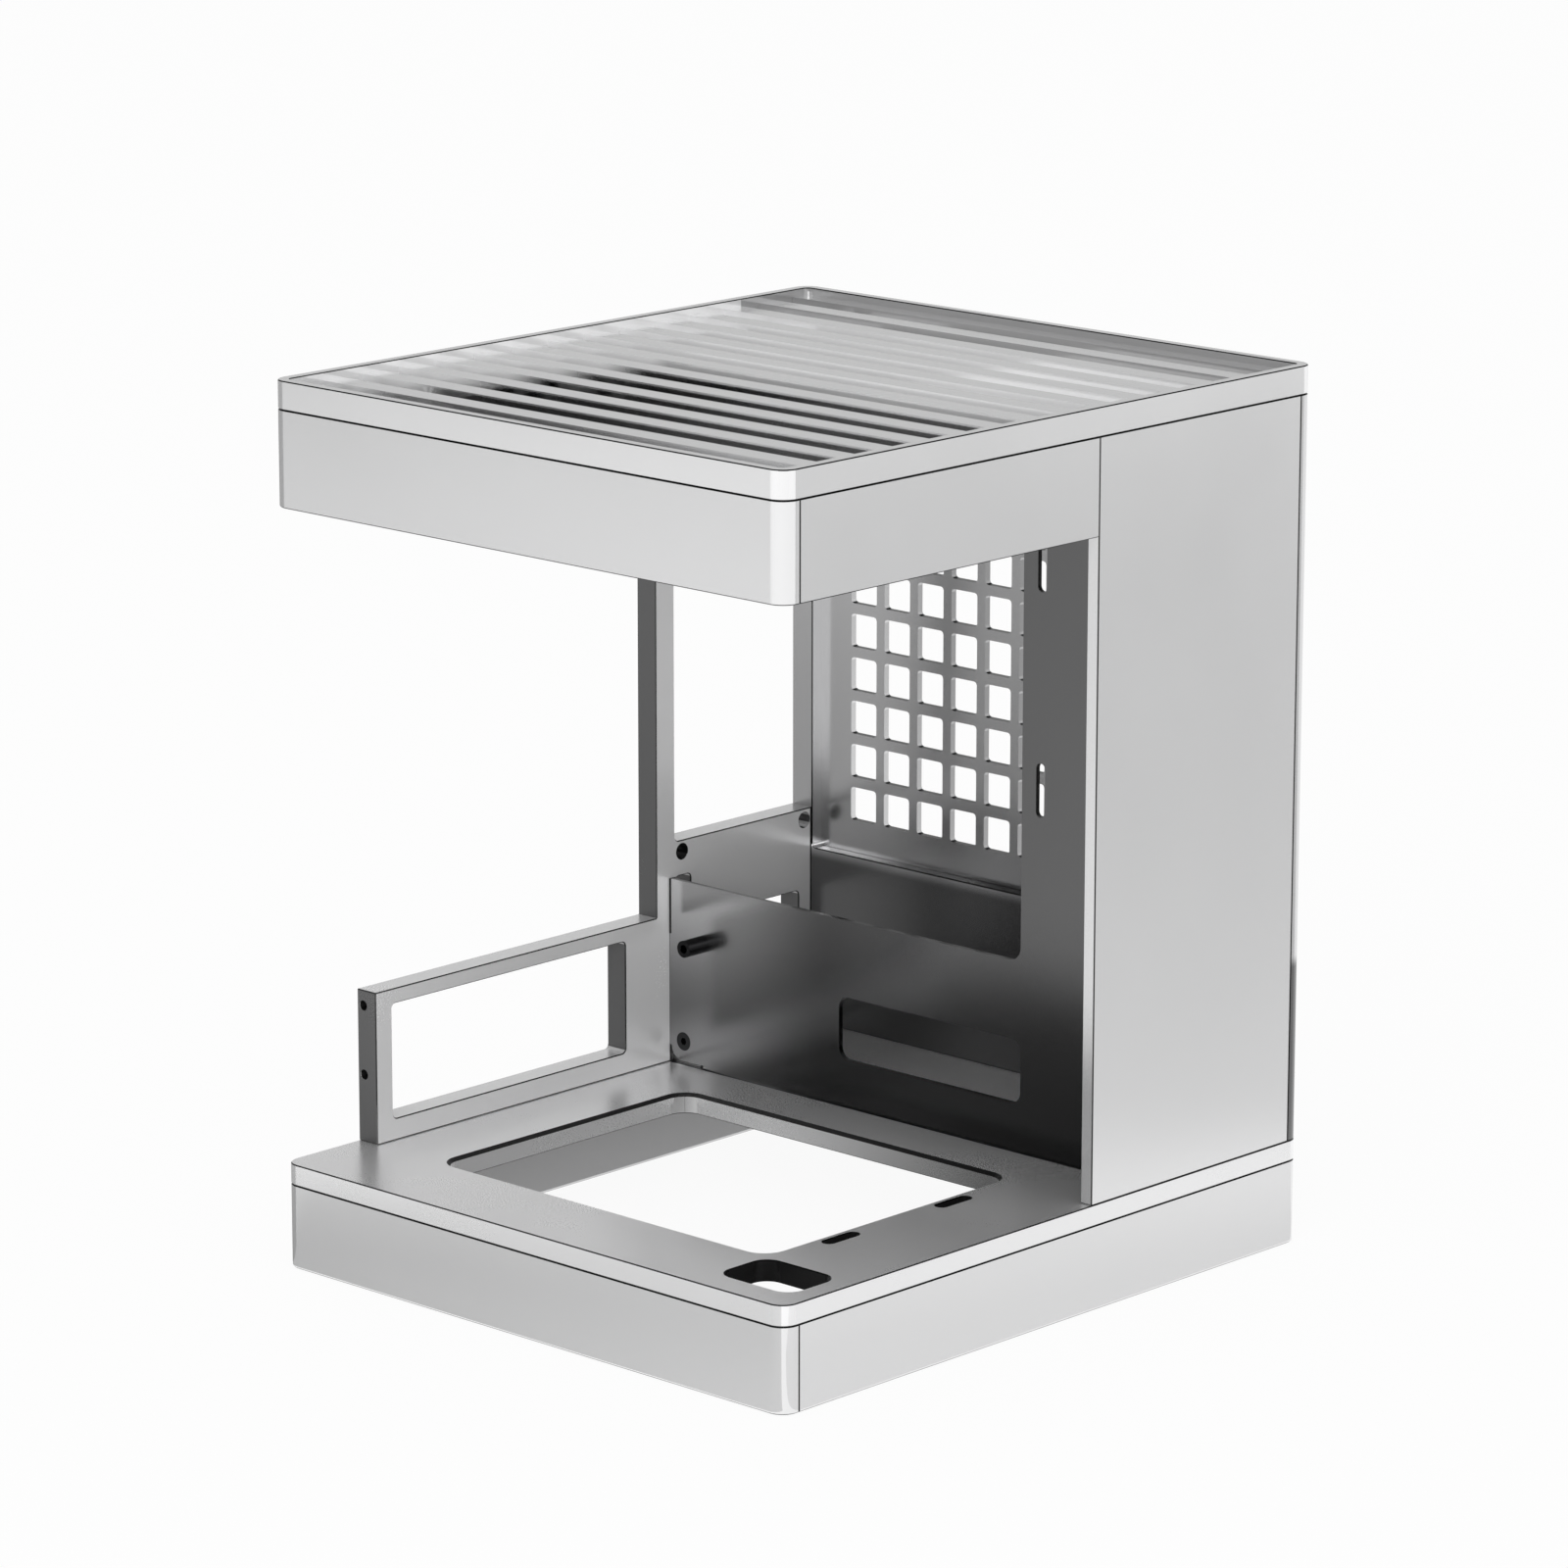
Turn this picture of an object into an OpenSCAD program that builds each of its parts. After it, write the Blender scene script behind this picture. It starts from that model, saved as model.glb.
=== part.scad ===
// Small upright computer case built from flat aluminium plates.
// Millimetres, +Z up, front plates face -Y, origin on the ground under the middle.

/* [Overall] */
// Width from side to side
body_w = 190; // [182:1:240]
// Depth from front to back
body_d = 212; // [206:1:260]
// Radius of the four upright corners
corner_r = 5; // [3:0.5:5.5]
// Depth of the fine chamfer along every visible seam
seam_c = 0.3; // [0.15:0.05:0.5]

/* [Levels] */
// Height of the base skirt
skirt_h = 24; // [20:1:50]
// Thickness of the deck plate
deck_t = 6; // [5:0.5:9]
// Clear height of the open bay
bay_h = 185; // [180:1:260]
// Height of the fascia strips under the lid
fascia_h = 27; // [22:1:50]
// Height of the lid
lid_h = 8; // [7:0.5:14]

/* [Plates] */
// Thickness of the front plates and the rear plate
plate_t = 6; // [6:0.5:8]
// Thickness of the side strips, side skirts and side panel
side_t = 4; // [3.5:0.5:5]
// How far the side skirts turn round onto the back
skirt_return = 10; // [8:0.5:20]
// Front edge of the right side panel, measured back from the middle
panel_y = 16; // [-20:1:25]

/* [Deck] */
// Width of the deck opening
opening_w = 125.5; // [90:0.5:126]
// Depth of the deck opening
opening_d = 99; // [70:1:100]
// Sideways place of the middle of the opening
opening_x = -1; // [-4:0.5:0]
// Front edge of the opening, measured back from the front plate
opening_gap = 22.5; // [18:0.5:30]
// Corner radius of the opening
opening_r = 6; // [3:0.5:10]
// Chamfer round the top of the opening
opening_c = 1; // [0.5:0.25:1.5]
// Width of the two tie slots beside the opening
tie_w = 3.6; // [2:0.2:4]
// Length of each tie slot
tie_l = 13; // [8:0.5:20]
// Distance between the middles of the tie slots
tie_pitch = 45; // [30:1:50]
// How far the tie slots sit in front of the middle of the opening
tie_shift = 1.2; // [0:0.1:5]
// Web between the opening and the tie slots
tie_web = 1.5; // [1.2:0.1:4]
// Width of the cable hole in the front right corner
cable_w = 26; // [16:0.5:27]
// Depth of the cable hole
cable_d = 19; // [12:0.5:19]
// Corner radius of the cable hole
cable_r = 5; // [2:0.5:6]
// Web between the cable hole and the right skirt
cable_side = 2.7; // [2:0.1:6]
// Web between the cable hole and the front skirt
cable_front = 3.2; // [2:0.1:6]

/* [Left frame] */
// Thickness of the left frame
frame_t = 7.5; // [7:0.5:10]
// Gap between the front plates and the nose of the frame
frame_nose = 22.7; // [10:0.1:50]
// Height of the low arm above the deck
arm_h = 44; // [30:1:50]
// Width of the bars round the windows
frame_bar = 6.3; // [5:0.1:8]
// Width of the bar on top of the arm
arm_bar = 4.4; // [3.5:0.1:6]
// Length of the lower front window
arm_window_l = 92.7; // [60:0.1:98]
// Front face of the post, measured back from the middle
post_y = 34.7; // [30:0.1:36]
// Width of the post
post_w = 7.7; // [6:0.1:8]
// Height of the lower rear window above its bottom bar
rear_window_h = 34.7; // [20:0.1:38]
// Length of the raised step at the front of that window
step_l = 6.5; // [4:0.1:12]
// Height of the raised step
step_h = 14; // [6:0.5:15]
// Width of the rear upright bar of the lower window
rear_bar = 5.2; // [5:0.1:12]
// Bottom of the tall upper window above the deck
upper_window_z = 65.5; // [62:0.1:90]
// Corner radius of the frame windows
window_r = 1.5; // [1:0.25:3]
// Diameter of the two small holes in the cross bar
bar_hole_d = 5; // [3:0.1:5]
// Height of the two small holes below the top of the cross bar
bar_hole_drop = 3.4; // [3:0.1:5]
// Distance of the two small holes from the ends of the cross bar
bar_hole_in = 2.9; // [2.7:0.1:5]
// Bore of the two threaded holes in the nose
nose_hole_d = 3; // [2:0.1:3.5]
// Distance between the threaded holes in the nose
nose_pitch = 20; // [12:1:24]
// Depth of the threaded holes in the nose
nose_hole_depth = 5; // [4:0.5:5.5]
// Middle of the threaded holes above the middle of the arm
nose_rise = 7.5; // [4:0.5:8]
// Middle of the threaded holes in from the outer face
nose_side = 2.5; // [2.3:0.1:4]
// Length of the left fascia behind the front face of the post
lap_h = 25.3; // [20:0.1:30]

/* [Divider] */
// Front face of the divider, measured back from the middle
divider_y = 40; // [39:0.1:42]
// Thickness of the divider
divider_t = 1.5; // [1.5:0.1:2]
// Height of the low band above the deck
band_h = 55; // [45:1:70]
// Left edge of the tall strip, measured right from the middle
strip_x = 47.7; // [40:0.1:49]
// Inner corner radius between band and strip
band_r = 4; // [2:0.5:8]
// Clearance between the band and the left frame
band_gap = 0.7; // [0.3:0.1:1.5]
// Width of the cable window
pass_w = 68.5; // [40:0.5:80]
// Height of the cable window
pass_h = 18.5; // [10:0.5:24]
// Bottom of the cable window above the deck
pass_z = 14; // [13:0.5:20]
// Middle of the cable window, measured right from the middle
pass_x = 13.75; // [0:0.25:20]
// Corner radius of the cable window
pass_r = 3.5; // [1:0.5:5]
// Width of the upright slots in the strip
slot_w = 3.2; // [2:0.1:4]
// Middle of the upright slots, measured right from the middle
slot_x = 54.4; // [53:0.1:58]
// Length of the short slot
short_slot_l = 15.3; // [8:0.1:30]
// Bottom of the short slot above the deck
short_slot_z = 97.2; // [70:0.1:110]
// Bottom of the long slot above the deck
long_slot_z = 160.4; // [150:0.1:170]
// Distance from the top of the long slot to the top of the strip
long_slot_end = 12; // [8:0.5:20]
// Gap between the divider and the deck
divider_gap = 0.4; // [0.2:0.1:0.8]
// How far the bottom left corner of the divider stays clear of the deck
divider_lift = 1.2; // [1:0.1:2]
// Height of the tab that touches the left frame, as a share of the band
tab_share = 0.68; // [0.5:0.01:0.8]

/* [Board fixings] */
// Left board holes, measured in from the left side
board_left = 20.8; // [19:0.1:22]
// Right board hole, measured in from the right side; a standard board needs 157.48 between the holes
board_right = 11.72; // [10:0.01:12]
// Lower board holes above the deck
board_z = 37.7; // [34:0.1:40]
// Upper board hole above the lower ones; a standard board needs 154.94
board_hole_z = 154.94; // [140:0.01:155]
// Diameter of the standoffs
standoff_d = 5; // [4.5:0.1:6]
// Length of the standoffs
standoff_l = 8; // [5:0.5:10]
// Bore of the standoffs
standoff_bore = 2.6; // [2:0.1:3]

/* [Rear plate] */
// Number of grille columns
grille_nx = 12; // [6:1:12]
// Number of grille rows
grille_nz = 10; // [5:1:10]
// Side of one square grille hole
grille_hole = 9.95; // [6:0.05:11]
// Pitch of the grille holes
grille_pitch = 13.05; // [12:0.05:13.2]
// Corner radius of one grille hole
grille_r = 1; // [0.5:0.1:2]
// Thickness left in the pocket behind the grille
grille_t = 2; // [1.5:0.1:3]
// Bottom of the pocket above the deck
pocket_z = 53.4; // [45:0.1:60]
// Rim of the pocket below and above the hole field
pocket_rim = 9.8; // [6:0.1:11]
// Strip left between the pocket and the pieces beside it
pocket_side = 0.5; // [0.3:0.1:2]
// Corner radius of the pocket
pocket_r = 1; // [0.5:0.1:3]

/* [Lid] */
// Thickness of the raised rim of the lid
rim_t = 3; // [2:0.1:3.5]
// Depth of the slatted floor below the rim
lid_recess = 2.2; // [1:0.1:3]
// Thickness of the slats
slat_t = 2.4; // [2.2:0.1:4]
// Number of slats
slat_n = 13; // [6:1:13]
// Width of one slat
slat_w = 7; // [5:0.1:8]
// Solid border in front of the first slot and behind the last one
lid_border = 9.19; // [8:0.01:12]

/* [Brackets and screws] */
// Leg length of the angle brackets
angle_leg = 12; // [11:0.5:14]
// Width of the angle brackets
angle_w = 11; // [8:0.5:12]
// Thickness of all brackets
angle_t = 2; // [1.5:0.1:2.5]
// Leg length of the brackets under the lid
top_leg = 20; // [18:1:24]
// Height of the brackets under the lid
top_bracket_h = 10; // [10:0.5:12]
// Length of the joint strap inside the right seam
strap_l = 24; // [20:1:30]
// Height of the joint strap
strap_h = 14; // [8:1:18]
// Diameter of the screw threads
screw_d = 3; // [2.8:0.1:3]
// Diameter of the screw heads
head_d = 5.5; // [5:0.1:5.8]
// Height of the raised screw heads
head_h = 1.8; // [1:0.1:2]
// Distance of the screw holes from the bend of the angle brackets
leg_hole = 7; // [6.5:0.1:8]
// Thread length of the bracket screws past the bracket
grip = 2.8; // [1.5:0.1:3]
// Thread length of the countersunk screws past the plate
long_grip = 5; // [3:0.5:5.5]
// Gap around a thread in its hole, on the diameter
thread_gap = 0.1; // [0.05:0.05:0.3]
// Gap around a screw in a plain hole, on the diameter
clear_gap = 0.4; // [0.3:0.05:0.6]
// Room left at the end of a threaded hole
end_room = 0.3; // [0.1:0.1:0.5]
// Distance of the rail screws from the nose, the post and the back of the left frame
rail_screw_in = 12; // [8:0.5:14]
// Distance of the two deck screws under the rear plate from the sides
plate_screw_in = 45; // [30:1:60]
// Distance of the lap screws from the ends of the lap
lap_screw_in = 5; // [4:0.1:7]
// Distance of the bracket at the front left corner from the side
bracket_in = 40; // [30:1:45]
// How far the front right bracket moves in, clear of the cable hole
cable_shift = 12; // [10:1:20]
// Size of the hexagon sockets in the screw heads
socket_d = 2.3; // [1.5:0.1:2.6]

/* [Lid pins] */
// Diameter of the pins that steady the lid
pin_d = 4; // [3:0.1:5]
// Gap around a pin in its bracket, on the diameter
pin_gap = 0.3; // [0.1:0.05:0.8]
// Diameter of the pin collar
collar_d = 6.5; // [5.5:0.1:7]
// Height of the pin collar
collar_h = 1.2; // [0.8:0.1:2]
// Length of the pins below the corner brackets
pin_tail = 1.5; // [0.5:0.1:3]
// Skin of the slats left above the thread of the pins
pin_skin = 0.8; // [0.6:0.1:1.2]

/* [Hidden] */
eps = 0.01;
past = 10;
round_fn = 48;
small_fn = 24;
root2 = sqrt(2);

// Levels from the ground up
z_deck = skirt_h;
z_bay = z_deck + deck_t;
z_fascia = z_bay + bay_h;
z_lid = z_fascia + fascia_h;
body_h = z_lid + lid_h;
z_floor = body_h - lid_recess;

// Faces of the plates, from the middle
y_in = body_d / 2 - plate_t;
x_in = body_w / 2 - side_t;
y_skirt_in = body_d / 2 - side_t;
x_frame = body_w / 2 - frame_t;
y_divider = divider_y + divider_t;

// Deck openings
opening_y = -y_in + opening_gap + opening_d / 2;
tie_x = opening_x + opening_w / 2 + tie_web + tie_w / 2;
tie_y = opening_y - tie_shift;
cable_x = x_in - cable_side - cable_w / 2;
cable_y = -y_in + cable_front + cable_d / 2;

// Left frame
nose_y = -y_in + frame_nose;
arm_window_y = nose_y + frame_bar;
post_back = post_y + post_w;
nose_z = z_bay + arm_h / 2 + nose_rise;
nose_x = -body_w / 2 + nose_side;
lap_end = post_y + lap_h;
rear_window_z = z_bay + frame_bar;

// Rear plate
field_h = (grille_nz - 1) * grille_pitch + grille_hole;
field_x = (x_in - x_frame) / 2;
field_z = z_bay + pocket_z + pocket_rim;
pocket_w = x_in + x_frame - 2 * pocket_side;
pocket_h = field_h + 2 * pocket_rim;

// Lid
slots_n = slat_n + 1;
gap_w = (body_d - 2 * lid_border - slat_n * slat_w) / slots_n;
slat_pitch = slat_w + gap_w;
slat_far = (slat_n - 1) / 2 * slat_pitch;

// Brackets and screws
tap_d = screw_d + thread_gap;
clear_d = screw_d + clear_gap;
side_bracket_f = -y_in + bracket_in;
side_bracket_r = y_skirt_in - rail_screw_in;
front_bracket_x = body_w / 2 - bracket_in;
foot_front = y_divider + 2 * angle_leg;
foot_back = y_in - angle_leg - clear_gap;
foot_left_x = -x_frame + angle_w / 2;
foot_right_x = x_in - angle_w / 2;
divider_top = z_lid - 1.5 * angle_t;
side_bracket_z = z_lid - angle_leg - angle_t;
rear_bracket_z = z_bay + 2 * angle_leg;
pin_in = y_in - slat_far;
pin_stub_d = screw_d - 0.5;
stub_d = 0.72 * standoff_d;
socket_depth = 0.6 * head_h;
under_lid = 0.5;
top_bracket_z = z_lid - under_lid;
pin_l = z_floor - slat_t - top_bracket_z + angle_t + pin_tail;
strap_z = z_fascia + fascia_h / 2;
csk_x = -body_w / 2 + frame_t / 2;
csk_h = (head_d - screw_d) / 2;
rail_screw_f = nose_y + rail_screw_in;
rail_screw_m = post_y - rail_screw_in / 2;
rail_screw_r = y_in - rail_screw_in;
rear_screw_l = z_bay + upper_window_z - 2 * head_d;
rear_screw_u = z_fascia + fascia_h / 2;
plate_screw_x = body_w / 2 - plate_screw_in;
lap_screw_f = post_y + 2 * lap_screw_in;
lap_screw_r = lap_end - lap_screw_in;
lap_l = frame_t - side_t + grip;
board_x = -body_w / 2 + board_left;
board_hole_x = body_w - board_left - board_right;

silver = [0.80, 0.81, 0.82];
dark_steel = [0.18, 0.18, 0.19];
grey_sheet = [0.55, 0.56, 0.57];

// Rectangle with round corners, drawn flat
module round_rect(w, d, r, fn = round_fn) {
    square([w - 2 * r, d], center = true);
    square([w, d - 2 * r], center = true);
    for (sx = [-1, 1], sy = [-1, 1])
        translate([sx * (w / 2 - r), sy * (d / 2 - r)])
            circle(r = r, $fn = fn);
}

// Part of the case outline between two heights
module outline(z0, z1) {
    translate([0, 0, z0])
        linear_extrude(z1 - z0)
            round_rect(body_w, body_d, corner_r);
}

// Box between two corner points
module span(a, b) {
    translate(a)
        cube(b - a);
}

// Chamfer that runs round the whole outline at one height
module seam_ring(z) {
    s = seam_c * root2;
    for (sy = [-1, 1])
        translate([0, sy * body_d / 2, z])
            rotate([45, 0, 0])
                cube([body_w - 2 * corner_r, s, s], center = true);
    for (sx = [-1, 1])
        translate([sx * body_w / 2, 0, z])
            rotate([0, 45, 0])
                cube([s, body_d - 2 * corner_r, s], center = true);
    for (sx = [-1, 1], sy = [-1, 1])
        translate([sx * (body_w / 2 - corner_r), sy * (body_d / 2 - corner_r), z])
            intersection() {
                rotate_extrude($fn = round_fn)
                    translate([corner_r, 0])
                        rotate(45)
                            square(s, center = true);
                translate([sx * corner_r, sy * corner_r, 0])
                    cube(2 * corner_r, center = true);
            }
}

// Upright chamfer along a seam or a free edge
module seam_post(x, y) {
    translate([x, y, -1])
        rotate(45)
            translate([-seam_c / root2, -seam_c / root2, 0])
                cube([seam_c * root2, seam_c * root2, body_h + 2]);
}

// Fine chamfers along straight edges that run sideways, front to back or upright
module edge_x(x0, x1, y, z) {
    s = seam_c * root2;
    translate([(x0 + x1) / 2, y, z])
        rotate([45, 0, 0])
            cube([x1 - x0, s, s], center = true);
}
module edge_y(x, y0, y1, z) {
    s = seam_c * root2;
    translate([x, (y0 + y1) / 2, z])
        rotate([0, 45, 0])
            cube([s, y1 - y0, s], center = true);
}
module edge_z(x, y, z0, z1) {
    s = seam_c * root2;
    translate([x, y, (z0 + z1) / 2])
        rotate(45)
            cube([s, s, z1 - z0], center = true);
}

// All seams of the outside, taken from every outer plate
module all_seams() {
    seam_ring(0);
    seam_ring(z_deck);
    seam_ring(z_bay);
    seam_ring(z_fascia);
    seam_ring(z_lid);
    seam_ring(body_h);
}

// Flat slot with round ends, lying along Y
module obround(w, l) {
    square([w, l - w], center = true);
    for (s = [-1, 1])
        translate([0, s * (l - w) / 2])
            circle(d = w, $fn = small_fn);
}

// Angle bracket: one leg under z = 0, one leg beside y = 0
module angle_bracket() {
    difference() {
        translate([-angle_w / 2, 0, 0])
            rotate([90, 0, 90])
                linear_extrude(angle_w)
                    difference() {
                        union() {
                            translate([0, -angle_t])
                                square([angle_leg, angle_t]);
                            translate([0, -angle_leg])
                                square([angle_t, angle_leg]);
                            translate([0, -angle_t - 1])
                                square([angle_t + 1, angle_t + 1]);
                        }
                        translate([angle_t + 1, -angle_t - 1])
                            circle(r = 1, $fn = small_fn);
                    }
        translate([0, leg_hole, -angle_t - eps])
            cylinder(d = clear_d, h = angle_t + 2 * eps, $fn = small_fn);
        translate([0, -eps, -leg_hole])
            rotate([-90, 0, 0])
                cylinder(d = clear_d, h = angle_t + 2 * eps, $fn = small_fn);
    }
}

// Raised-head screw: seat at z = 0, thread towards +Z
module round_screw(len) {
    difference() {
        union() {
            cylinder(d = screw_d, h = len, $fn = small_fn);
            translate([0, 0, -head_h])
                cylinder(d = head_d, h = head_h, $fn = small_fn);
        }
        translate([0, 0, -head_h - eps])
            cylinder(d = socket_d, h = socket_depth + eps, $fn = 6);
    }
}

// Countersunk screw: face of the head at z = 0, thread towards +Z
module flat_screw(len) {
    difference() {
        union() {
            cylinder(d = screw_d, h = len, $fn = small_fn);
            cylinder(d1 = head_d, d2 = screw_d, h = csk_h, $fn = small_fn);
        }
        translate([0, 0, -eps])
            cylinder(d = socket_d, h = csk_h, $fn = 6);
    }
}

// Countersunk hole through a plate, going on as a threaded hole
module flat_hole(plate, depth) {
    translate([0, 0, -eps])
        cylinder(d = clear_d, h = plate + eps, $fn = small_fn);
    translate([0, 0, -eps])
        cylinder(d1 = head_d + 2 * eps, d2 = screw_d, h = csk_h + eps, $fn = small_fn);
    cylinder(d = tap_d, h = depth, $fn = small_fn);
}

// Threaded holes for the two screws of an angle bracket
module tap_up() {
    translate([0, leg_hole, -eps])
        cylinder(d = tap_d, h = grip + end_room, $fn = small_fn);
}
module tap_wall() {
    translate([0, eps, -leg_hole])
        rotate([90, 0, 0])
            cylinder(d = tap_d, h = grip + end_room, $fn = small_fn);
}
module screw_up() {
    translate([0, leg_hole, -angle_t])
        round_screw(angle_t + grip);
}
module screw_wall() {
    translate([0, angle_t, -leg_hole])
        rotate([90, 0, 0])
            round_screw(angle_t + grip);
}

// Places of the brackets that join the skirts to the deck
module at_skirt_brackets() {
    for (x = [-front_bracket_x, front_bracket_x - cable_shift])
        translate([x, -y_in, z_deck])
            children();
    for (x = [-front_bracket_x, front_bracket_x])
        translate([x, y_skirt_in, z_deck])
            rotate([0, 0, 180])
                children();
    for (y = [side_bracket_f, side_bracket_r]) {
        translate([-x_in, y, z_deck])
            rotate([0, 0, -90])
                children();
        translate([x_in, y, z_deck])
            rotate([0, 0, 90])
                children();
    }
}

// Places of the brackets at the foot and back edge of the side panel
module at_panel_brackets() {
    for (y = [foot_front, foot_back])
        translate([x_in, y, z_bay])
            rotate([180, 0, -90])
                children();
    translate([x_in, y_in, rear_bracket_z])
        rotate([-90, 90, 0])
            children();
}

// Places of the brackets behind the divider
module at_divider_brackets() {
    for (x = [foot_left_x, foot_right_x])
        translate([x, y_divider, z_bay])
            rotate([180, 0, 180])
                children();
    translate([x_in, y_divider, side_bracket_z])
        rotate([0, 90, 0])
            children();
}

// Places of the four corner brackets under the lid
module at_top_corners() {
    translate([-x_in, -y_in, top_bracket_z])
        children();
    translate([x_in, -y_in, top_bracket_z])
        rotate(90)
            children();
    translate([x_in, y_in, top_bracket_z])
        rotate(180)
            children();
    translate([-x_frame, y_in, top_bracket_z])
        rotate(270)
            children();
}

// Corner bracket with two legs and a shelf that takes a lid pin
module top_corner_bracket() {
    difference() {
        union() {
            span([0, 0, -angle_t], [top_leg, top_leg, 0]);
            span([0, 0, -top_bracket_h], [top_leg, angle_t, 0]);
            span([0, 0, -top_bracket_h], [angle_t, top_leg, 0]);
        }
        translate([pin_in, pin_in, -angle_t - eps])
            cylinder(d = pin_d + pin_gap, h = angle_t + 2 * eps, $fn = round_fn);
        translate([top_leg, top_leg, -angle_t / 2])
            rotate(45)
                cube([3 * angle_t, top_leg, angle_t + 1], center = true);
        top_legs()
            translate([0, 0, -eps])
                cylinder(d = clear_d, h = angle_t + 2 * eps, $fn = small_fn);
    }
}

// The two screw places on the legs of a corner bracket, thread outwards
module top_legs() {
    translate([pin_in, angle_t, -(top_bracket_h + angle_t) / 2])
        rotate([90, 0, 0])
            children();
    translate([angle_t, pin_in, -(top_bracket_h + angle_t) / 2])
        rotate([0, -90, 0])
            children();
}

module top_taps() {
    top_legs()
        cylinder(d = tap_d, h = angle_t + grip + end_room, $fn = small_fn);
}

// Places of the two strap screws
module at_strap_screws() {
    for (s = [-1, 1])
        translate([x_in - angle_t, panel_y + s * strap_l / 4, strap_z])
            rotate([0, 90, 0])
                children();
}

// Every threaded hole that a plate may share with a bracket
module bracket_taps() {
    at_skirt_brackets() {
        tap_up();
        tap_wall();
    }
    at_panel_brackets() {
        tap_up();
        tap_wall();
    }
    at_divider_brackets()
        tap_up();
    at_top_corners()
        top_taps();
    at_strap_screws()
        cylinder(d = tap_d, h = angle_t + grip + end_room, $fn = small_fn);
}

// Places of the countersunk screws that pass up through the deck
module at_deck_screws() {
    for (y = [rail_screw_f, rail_screw_m, rail_screw_r])
        translate([csk_x, y, z_deck])
            children();
    for (x = [-plate_screw_x, plate_screw_x])
        translate([x, body_d / 2 - plate_t / 2, z_deck])
            children();
}

// Places of the countersunk screws in the back of the rear plate
module at_rear_screws() {
    for (z = [rear_screw_l, rear_screw_u])
        translate([csk_x, body_d / 2, z])
            rotate([90, 0, 0])
                children();
}

module deck_screw_holes() {
    at_deck_screws()
        flat_hole(deck_t, deck_t + long_grip + end_room);
}
module rear_screw_holes() {
    at_rear_screws()
        flat_hole(plate_t, plate_t + long_grip + end_room);
}

// Places of the screws through the lap of the left fascia
module at_lap_screws() {
    for (y = [lap_screw_f, lap_screw_r])
        translate([-x_frame, y, strap_z])
            rotate([0, -90, 0])
                children();
}

// Front plate of the base
module base_front_skirt() {
    color(silver)
        difference() {
            intersection() {
                outline(0, z_deck);
                span([-body_w, -body_d, 0], [body_w, -y_in, z_deck]);
            }
            all_seams();
            for (sx = [-1, 1])
                seam_post(sx * body_w / 2, -y_in);
            bracket_taps();
        }
}

// Side skirt with its rear return; side is 1 for right and -1 for left
module side_skirt(side) {
    difference() {
        linear_extrude(z_deck)
            difference() {
                intersection() {
                    round_rect(body_w, body_d, corner_r);
                    translate([side > 0 ? 0 : -body_w, -y_in])
                        square([body_w, body_d]);
                }
                translate([0, -side_t / 2 - past / 2])
                    round_rect(2 * x_in, body_d - side_t + past, max(corner_r - side_t, 0.5));
                translate([side > 0 ? -body_w : -body_w / 2 + skirt_return, 0])
                    square([body_w * 1.5 - skirt_return, body_d]);
            }
        all_seams();
        seam_post(side * body_w / 2, -y_in);
        seam_post(side * (body_w / 2 - skirt_return), body_d / 2);
        bracket_taps();
    }
}
module base_left_skirt() {
    color(silver)
        side_skirt(-1);
}
module base_right_skirt() {
    color(silver)
        side_skirt(1);
}

// Rear plate of the base, between the two returns
module base_rear_skirt() {
    half = body_w / 2 - skirt_return;
    color(silver)
        difference() {
            span([-half, y_skirt_in, 0], [half, body_d / 2, z_deck]);
            all_seams();
            for (sx = [-1, 1])
                seam_post(sx * half, body_d / 2);
            bracket_taps();
        }
}

// Chamfered rectangular cut-out with round corners
module chamfered_cut(w, d, r, t, c, under = eps) {
    translate([0, 0, -under])
        linear_extrude(t + under + eps)
            round_rect(w, d, r);
    translate([0, 0, t - c]) {
        for (sx = [-1, 1], sy = [-1, 1])
            translate([sx * (w / 2 - r), sy * (d / 2 - r), 0])
                cylinder(r1 = r, r2 = r + c, h = c, $fn = round_fn);
        wedge(w - 2 * r, d, c);
        rotate(90)
            wedge(d - 2 * r, w, c);
    }
}

// Chamfered slot with round ends, lying along Y
module slot_cut(w, l, t, c) {
    translate([0, 0, -eps])
        linear_extrude(t + 2 * eps)
            obround(w, l);
    translate([0, 0, t - c]) {
        for (s = [-1, 1])
            translate([0, s * (l - w) / 2, 0])
                cylinder(r1 = w / 2, r2 = w / 2 + c, h = c, $fn = small_fn);
        rotate(90)
            wedge(l - w, w, c);
    }
}

// Prism with sloping long sides, widening upwards
module wedge(l, w, c) {
    translate([-l / 2, 0, 0])
        rotate([90, 0, 90])
            linear_extrude(l)
                polygon([[-w / 2, 0], [w / 2, 0], [w / 2 + c, c], [-w / 2 - c, c]]);
}

// Deck with its large opening, tie slots and cable hole
module deck_plate() {
    color(silver)
        difference() {
            outline(z_deck, z_bay);
            translate([opening_x, opening_y, z_deck])
                chamfered_cut(opening_w - 2 * opening_c, opening_d - 2 * opening_c,
                    opening_r, deck_t, opening_c);
            translate([opening_x, opening_y, z_bay])
                rotate([180, 0, 0])
                    chamfered_cut(opening_w - 2 * opening_c, opening_d - 2 * opening_c,
                        opening_r, deck_t, seam_c);
            for (s = [-1, 1])
                translate([tie_x, tie_y + s * tie_pitch / 2, z_deck])
                    slot_cut(tie_w, tie_l, deck_t, seam_c);
            translate([cable_x, cable_y, z_deck])
                chamfered_cut(cable_w, cable_d, cable_r, deck_t, seam_c);
            all_seams();
            bracket_taps();
            deck_screw_holes();
        }
}

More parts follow.
